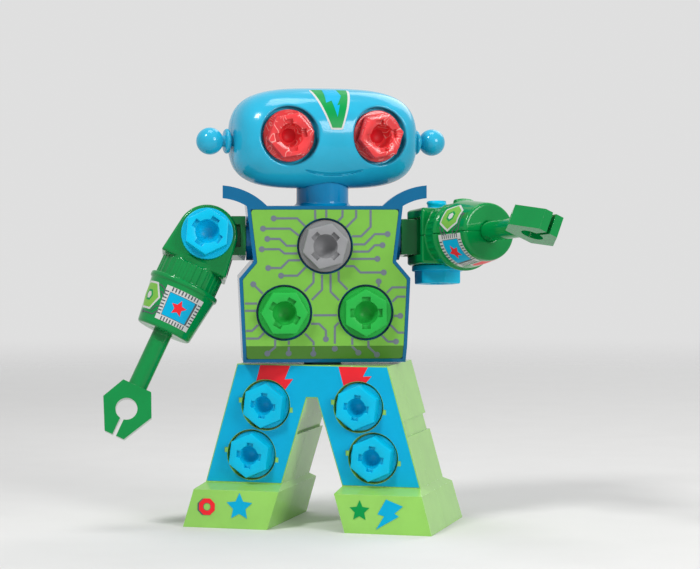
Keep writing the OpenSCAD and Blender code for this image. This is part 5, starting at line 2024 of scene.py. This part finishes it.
        # Each print with the number of its layer and of its finish.
        prints = [
            (inset(square, -self.chip_border), 0, 0), (square, 1, 1), (inner, 2, 2),
            (star(3.9, (x + 0.4, down), 180.0), 3, 3), (circle(7.6, 6, self.nut), 0, 0),
            (circle(6.5, 6, self.nut), 1, 4), (circle(2.9, 6, self.nut), 2, 5),
            (circle(1.8, 6, self.nut), 3, 0),
        ]
        if self.side is Side.RIGHT:
            patch = [(-20.4, 39.6), (-10.8, 36.0), (-10.8, 46.2), (-20.4, 46.2)]
            prints += [(rounded(inset(patch, -0.7), 1.4), 0, 0), (rounded(patch, 1.2), 1, 3)]
        made = Shape()
        for outline, layer, paint in prints:
            made.sheet([outline], *self.label_layers[layer], self.label_step, paint)
        word = self.side.word
        mesh = made.mapped(self.wrap).placed(matrix).mesh(f"cuff_label_{word}", 1e-4)
        finishes = [PALE_PRINT, GREY_PRINT, BLUE_PRINT, RED_PRINT, LIME_PRINT, GREEN_PRINT]
        node = f"cuff_sticker_{word}"
        settle(f"cuff_label_{word}", mesh, f"arm_{word}", finishes, [node], 50.0)
        self.pins()
        padded = [[(9.2, 42.4), (11.4, 44.8), (19.6, 44.8)]]
        plain = [
            [(9.2, 33.6), (10.4, 31.6), (13.2, 30.6)],
            [(9.2, 35.4), (10.6, 33.8), (11.8, 33.8)],
            [(9.2, 40.4), (10.8, 40.4), (13.4, 43.6)],
        ]
        lines = TracePrint(0.5, 0.8, 0.16, 4).lines(f"cuff_leads_{word}", padded, plain, GREY_PRINT)
        mesh = wrapped(lines, self.wrap, matrix)
        settle(f"cuff_leads_{word}", mesh, f"arm_{word}", [GREY_PRINT])

    def pins(self) -> None:
        """The dark pins that stand round the chip on its pale border."""
        name = f"cuff_pins_{self.side.word}"
        (x, down), (wide, high) = self.chip, self.chip_half
        height = self.label_layers[0][1]
        spots = []
        for count, across in zip(self.pins_along, (False, True)):
            for k in range(count):
                along = self.pin_pitch * (k - (count - 1) / 2)
                for sign in (-1, 1):
                    aside = sign * ((wide if across else high) + self.pin_out)
                    spot = (aside, along) if across else (along, aside)
                    spots.append((x + spot[0], down + spot[1], height))
        mesh = bpy.data.meshes.new(name)
        mesh.from_pydata(spots, [], [])
        tree = GeoTree(name, dict(zip(("Pin Width", "Pin Length", "Ink Thickness"), self.pin_size)))
        graph = tree.graph
        place = graph.add("ShaderNodeSeparateXYZ", None, {0: graph.add("GeometryNodeInputPosition")}, "X")
        aside = graph.add("ShaderNodeMath", {"operation": "ABSOLUTE"}, {0: place - x})
        across = graph.add("FunctionNodeCompare", {"operation": "GREATER_THAN"}, {0: aside, 1: wide + 0.5})
        sockets = {"X": tree["Pin Width"], "Y": tree["Pin Length"], "Z": tree["Ink Thickness"]}
        size = graph.add("ShaderNodeCombineXYZ", None, sockets)
        bar = graph.add("GeometryNodeMeshCube", None, {"Size": size})
        quarter = graph.add("FunctionNodeEulerToRotation", None, {"Euler": (0, 0, math.radians(90))})
        turn = graph.add("GeometryNodeSwitch", {"input_type": "ROTATION"}, {0: across, "True": quarter})
        points = graph.add("GeometryNodeMeshToPoints", None, {"Mesh": tree["Geometry"]})
        sockets = {"Points": points, "Instance": bar, "Rotation": turn}
        tree.finish(graph.add("GeometryNodeInstanceOnPoints", None, sockets), GREY_PRINT)
        made = wrapped(tree.grown(mesh), self.wrap, STANCE.arm(self.side))
        settle(name, made, f"arm_{self.side.word}", [GREY_PRINT])


@dataclass(frozen=True)
class Studio:
    """A pale floor, soft lamps and the camera."""

    camera_at: Triple = (299.84, -1068.16, 157.6)
    camera_turn: float = 15.0
    camera_tip: float = 2.23
    focal_px: float = 2325.0
    image_width: float = 700.0
    sensor: float = 36.0
    floor_reach: float = 3.0
    floor_fade: Pair = (0.35, 1.5)
    floor_colours: tuple[Colour, Colour] = ((0.66, 0.655, 0.645, 1.0), (0.7, 0.695, 0.685, 1.0))
    aim: Triple = (0.0, 0.0, 0.1)
    soft: Colour = (0.95, 0.97, 1.0, 1.0)
    soft_strength: float = 0.27
    backdrop: Colour = (0.74, 0.74, 0.74, 1.0)

    def build(self) -> None:
        """Makes the stage, the lamps, the world and the camera."""
        self.floor()
        self.lamp("key", (-0.45, -0.9, 1.2), 0.3, 11.9)
        self.lamp("fill", (1.0, -0.6, 0.55), 0.45, 7.6)
        self.lamp("top", (0.05, 0.0, 1.3), 0.5, 4.6)
        self.lamp("rim", (0.3, 0.9, 0.9), 0.8, 4.0)
        self.world()
        self.camera()
        bpy.context.scene.view_settings.view_transform = "Standard"

    def floor(self) -> None:
        """A wide pale floor that keeps the object's shadow and fades out far away."""
        reach = self.floor_reach / MM
        corners = [(-reach, -reach), (reach, -reach), (reach, reach), (-reach, reach)]
        mesh = Shape().add(lifted(corners, 0.0), [(0, 1, 2, 3)]).mesh("floor")
        made = bpy.data.materials.new("pale_floor")
        made.use_nodes = True
        graph = Graph(made.node_tree)
        place = graph.place()
        away = graph.add("ShaderNodeVectorMath", {"operation": "LENGTH"}, {0: place}, "Value")
        colour = graph.blend(graph.noise(place, 30.0, 3.0), *self.floor_colours)
        matte = graph.add("ShaderNodeBsdfPrincipled", None, {"Base Color": colour, "Roughness": 0.85})
        clear = graph.add("ShaderNodeBsdfTransparent")
        faded = graph.add("ShaderNodeMixShader", None, {0: away.over(*self.floor_fade), 1: matte, 2: clear})
        graph.node("ShaderNodeOutputMaterial", None, {"Surface": faded})
        mesh.materials.append(made)
        linked("floor", mesh)

    def lamp(self, name: str, place: Point, size: float, power: float) -> None:
        """A soft square lamp that looks at the robot's middle.

        Args:
            name: the lamp's name.
            place: where it hangs, in metres.
            size: length of its sides, in metres.
            power: its power, in watts.
        """
        lamp = bpy.data.lights.new(name, "AREA")
        lamp.size, lamp.energy = size, power
        holder = linked(name, lamp)
        holder.location = place
        holder.rotation_euler = (Vector(self.aim) - Vector(place)).to_track_quat("-Z", "Y").to_euler()

    def world(self) -> None:
        """Soft light from all round; the camera, gloss and clear plastic see a pale backdrop instead."""
        world = bpy.data.worlds.new("studio")
        bpy.context.scene.world = world
        world.use_nodes = True
        graph = Graph(world.node_tree)
        paths = graph.node("ShaderNodeLightPath")
        seen = Sock(graph, paths.outputs["Is Camera Ray"])
        for word in ("Is Glossy Ray", "Is Transmission Ray"):
            other = Sock(graph, paths.outputs[word])
            seen = graph.add("ShaderNodeMath", {"operation": "MAXIMUM"}, {0: seen, 1: other})
        soft = graph.add("ShaderNodeBackground", None, {"Color": self.soft, "Strength": self.soft_strength})
        backdrop = graph.add("ShaderNodeBackground", None, {"Color": self.backdrop, "Strength": 1.0})
        both = graph.add("ShaderNodeMixShader", None, {0: seen, 1: soft, 2: backdrop})
        graph.node("ShaderNodeOutputWorld", None, {"Surface": both})

    def camera(self) -> None:
        """The camera at the photograph's place."""
        lens = bpy.data.cameras.new("camera")
        lens.sensor_width = self.sensor
        lens.lens = self.focal_px / self.image_width * self.sensor
        lens.clip_start, lens.clip_end = 0.05, 50
        camera = linked("camera", lens)
        camera.location = [c * MM for c in self.camera_at]
        camera.rotation_euler = (math.radians(90 - self.camera_tip), 0, math.radians(self.camera_turn))
        bpy.context.scene.camera = camera


def main() -> None:
    """Builds every sub-assembly in order."""
    logging.basicConfig(level=logging.INFO, format="%(message)s")
    Studio().build()
    Legs().build()
    Torso().build()
    Head().build()
    for side in Side:
        Arm(side).build()


if __name__ == "__main__":
    main()
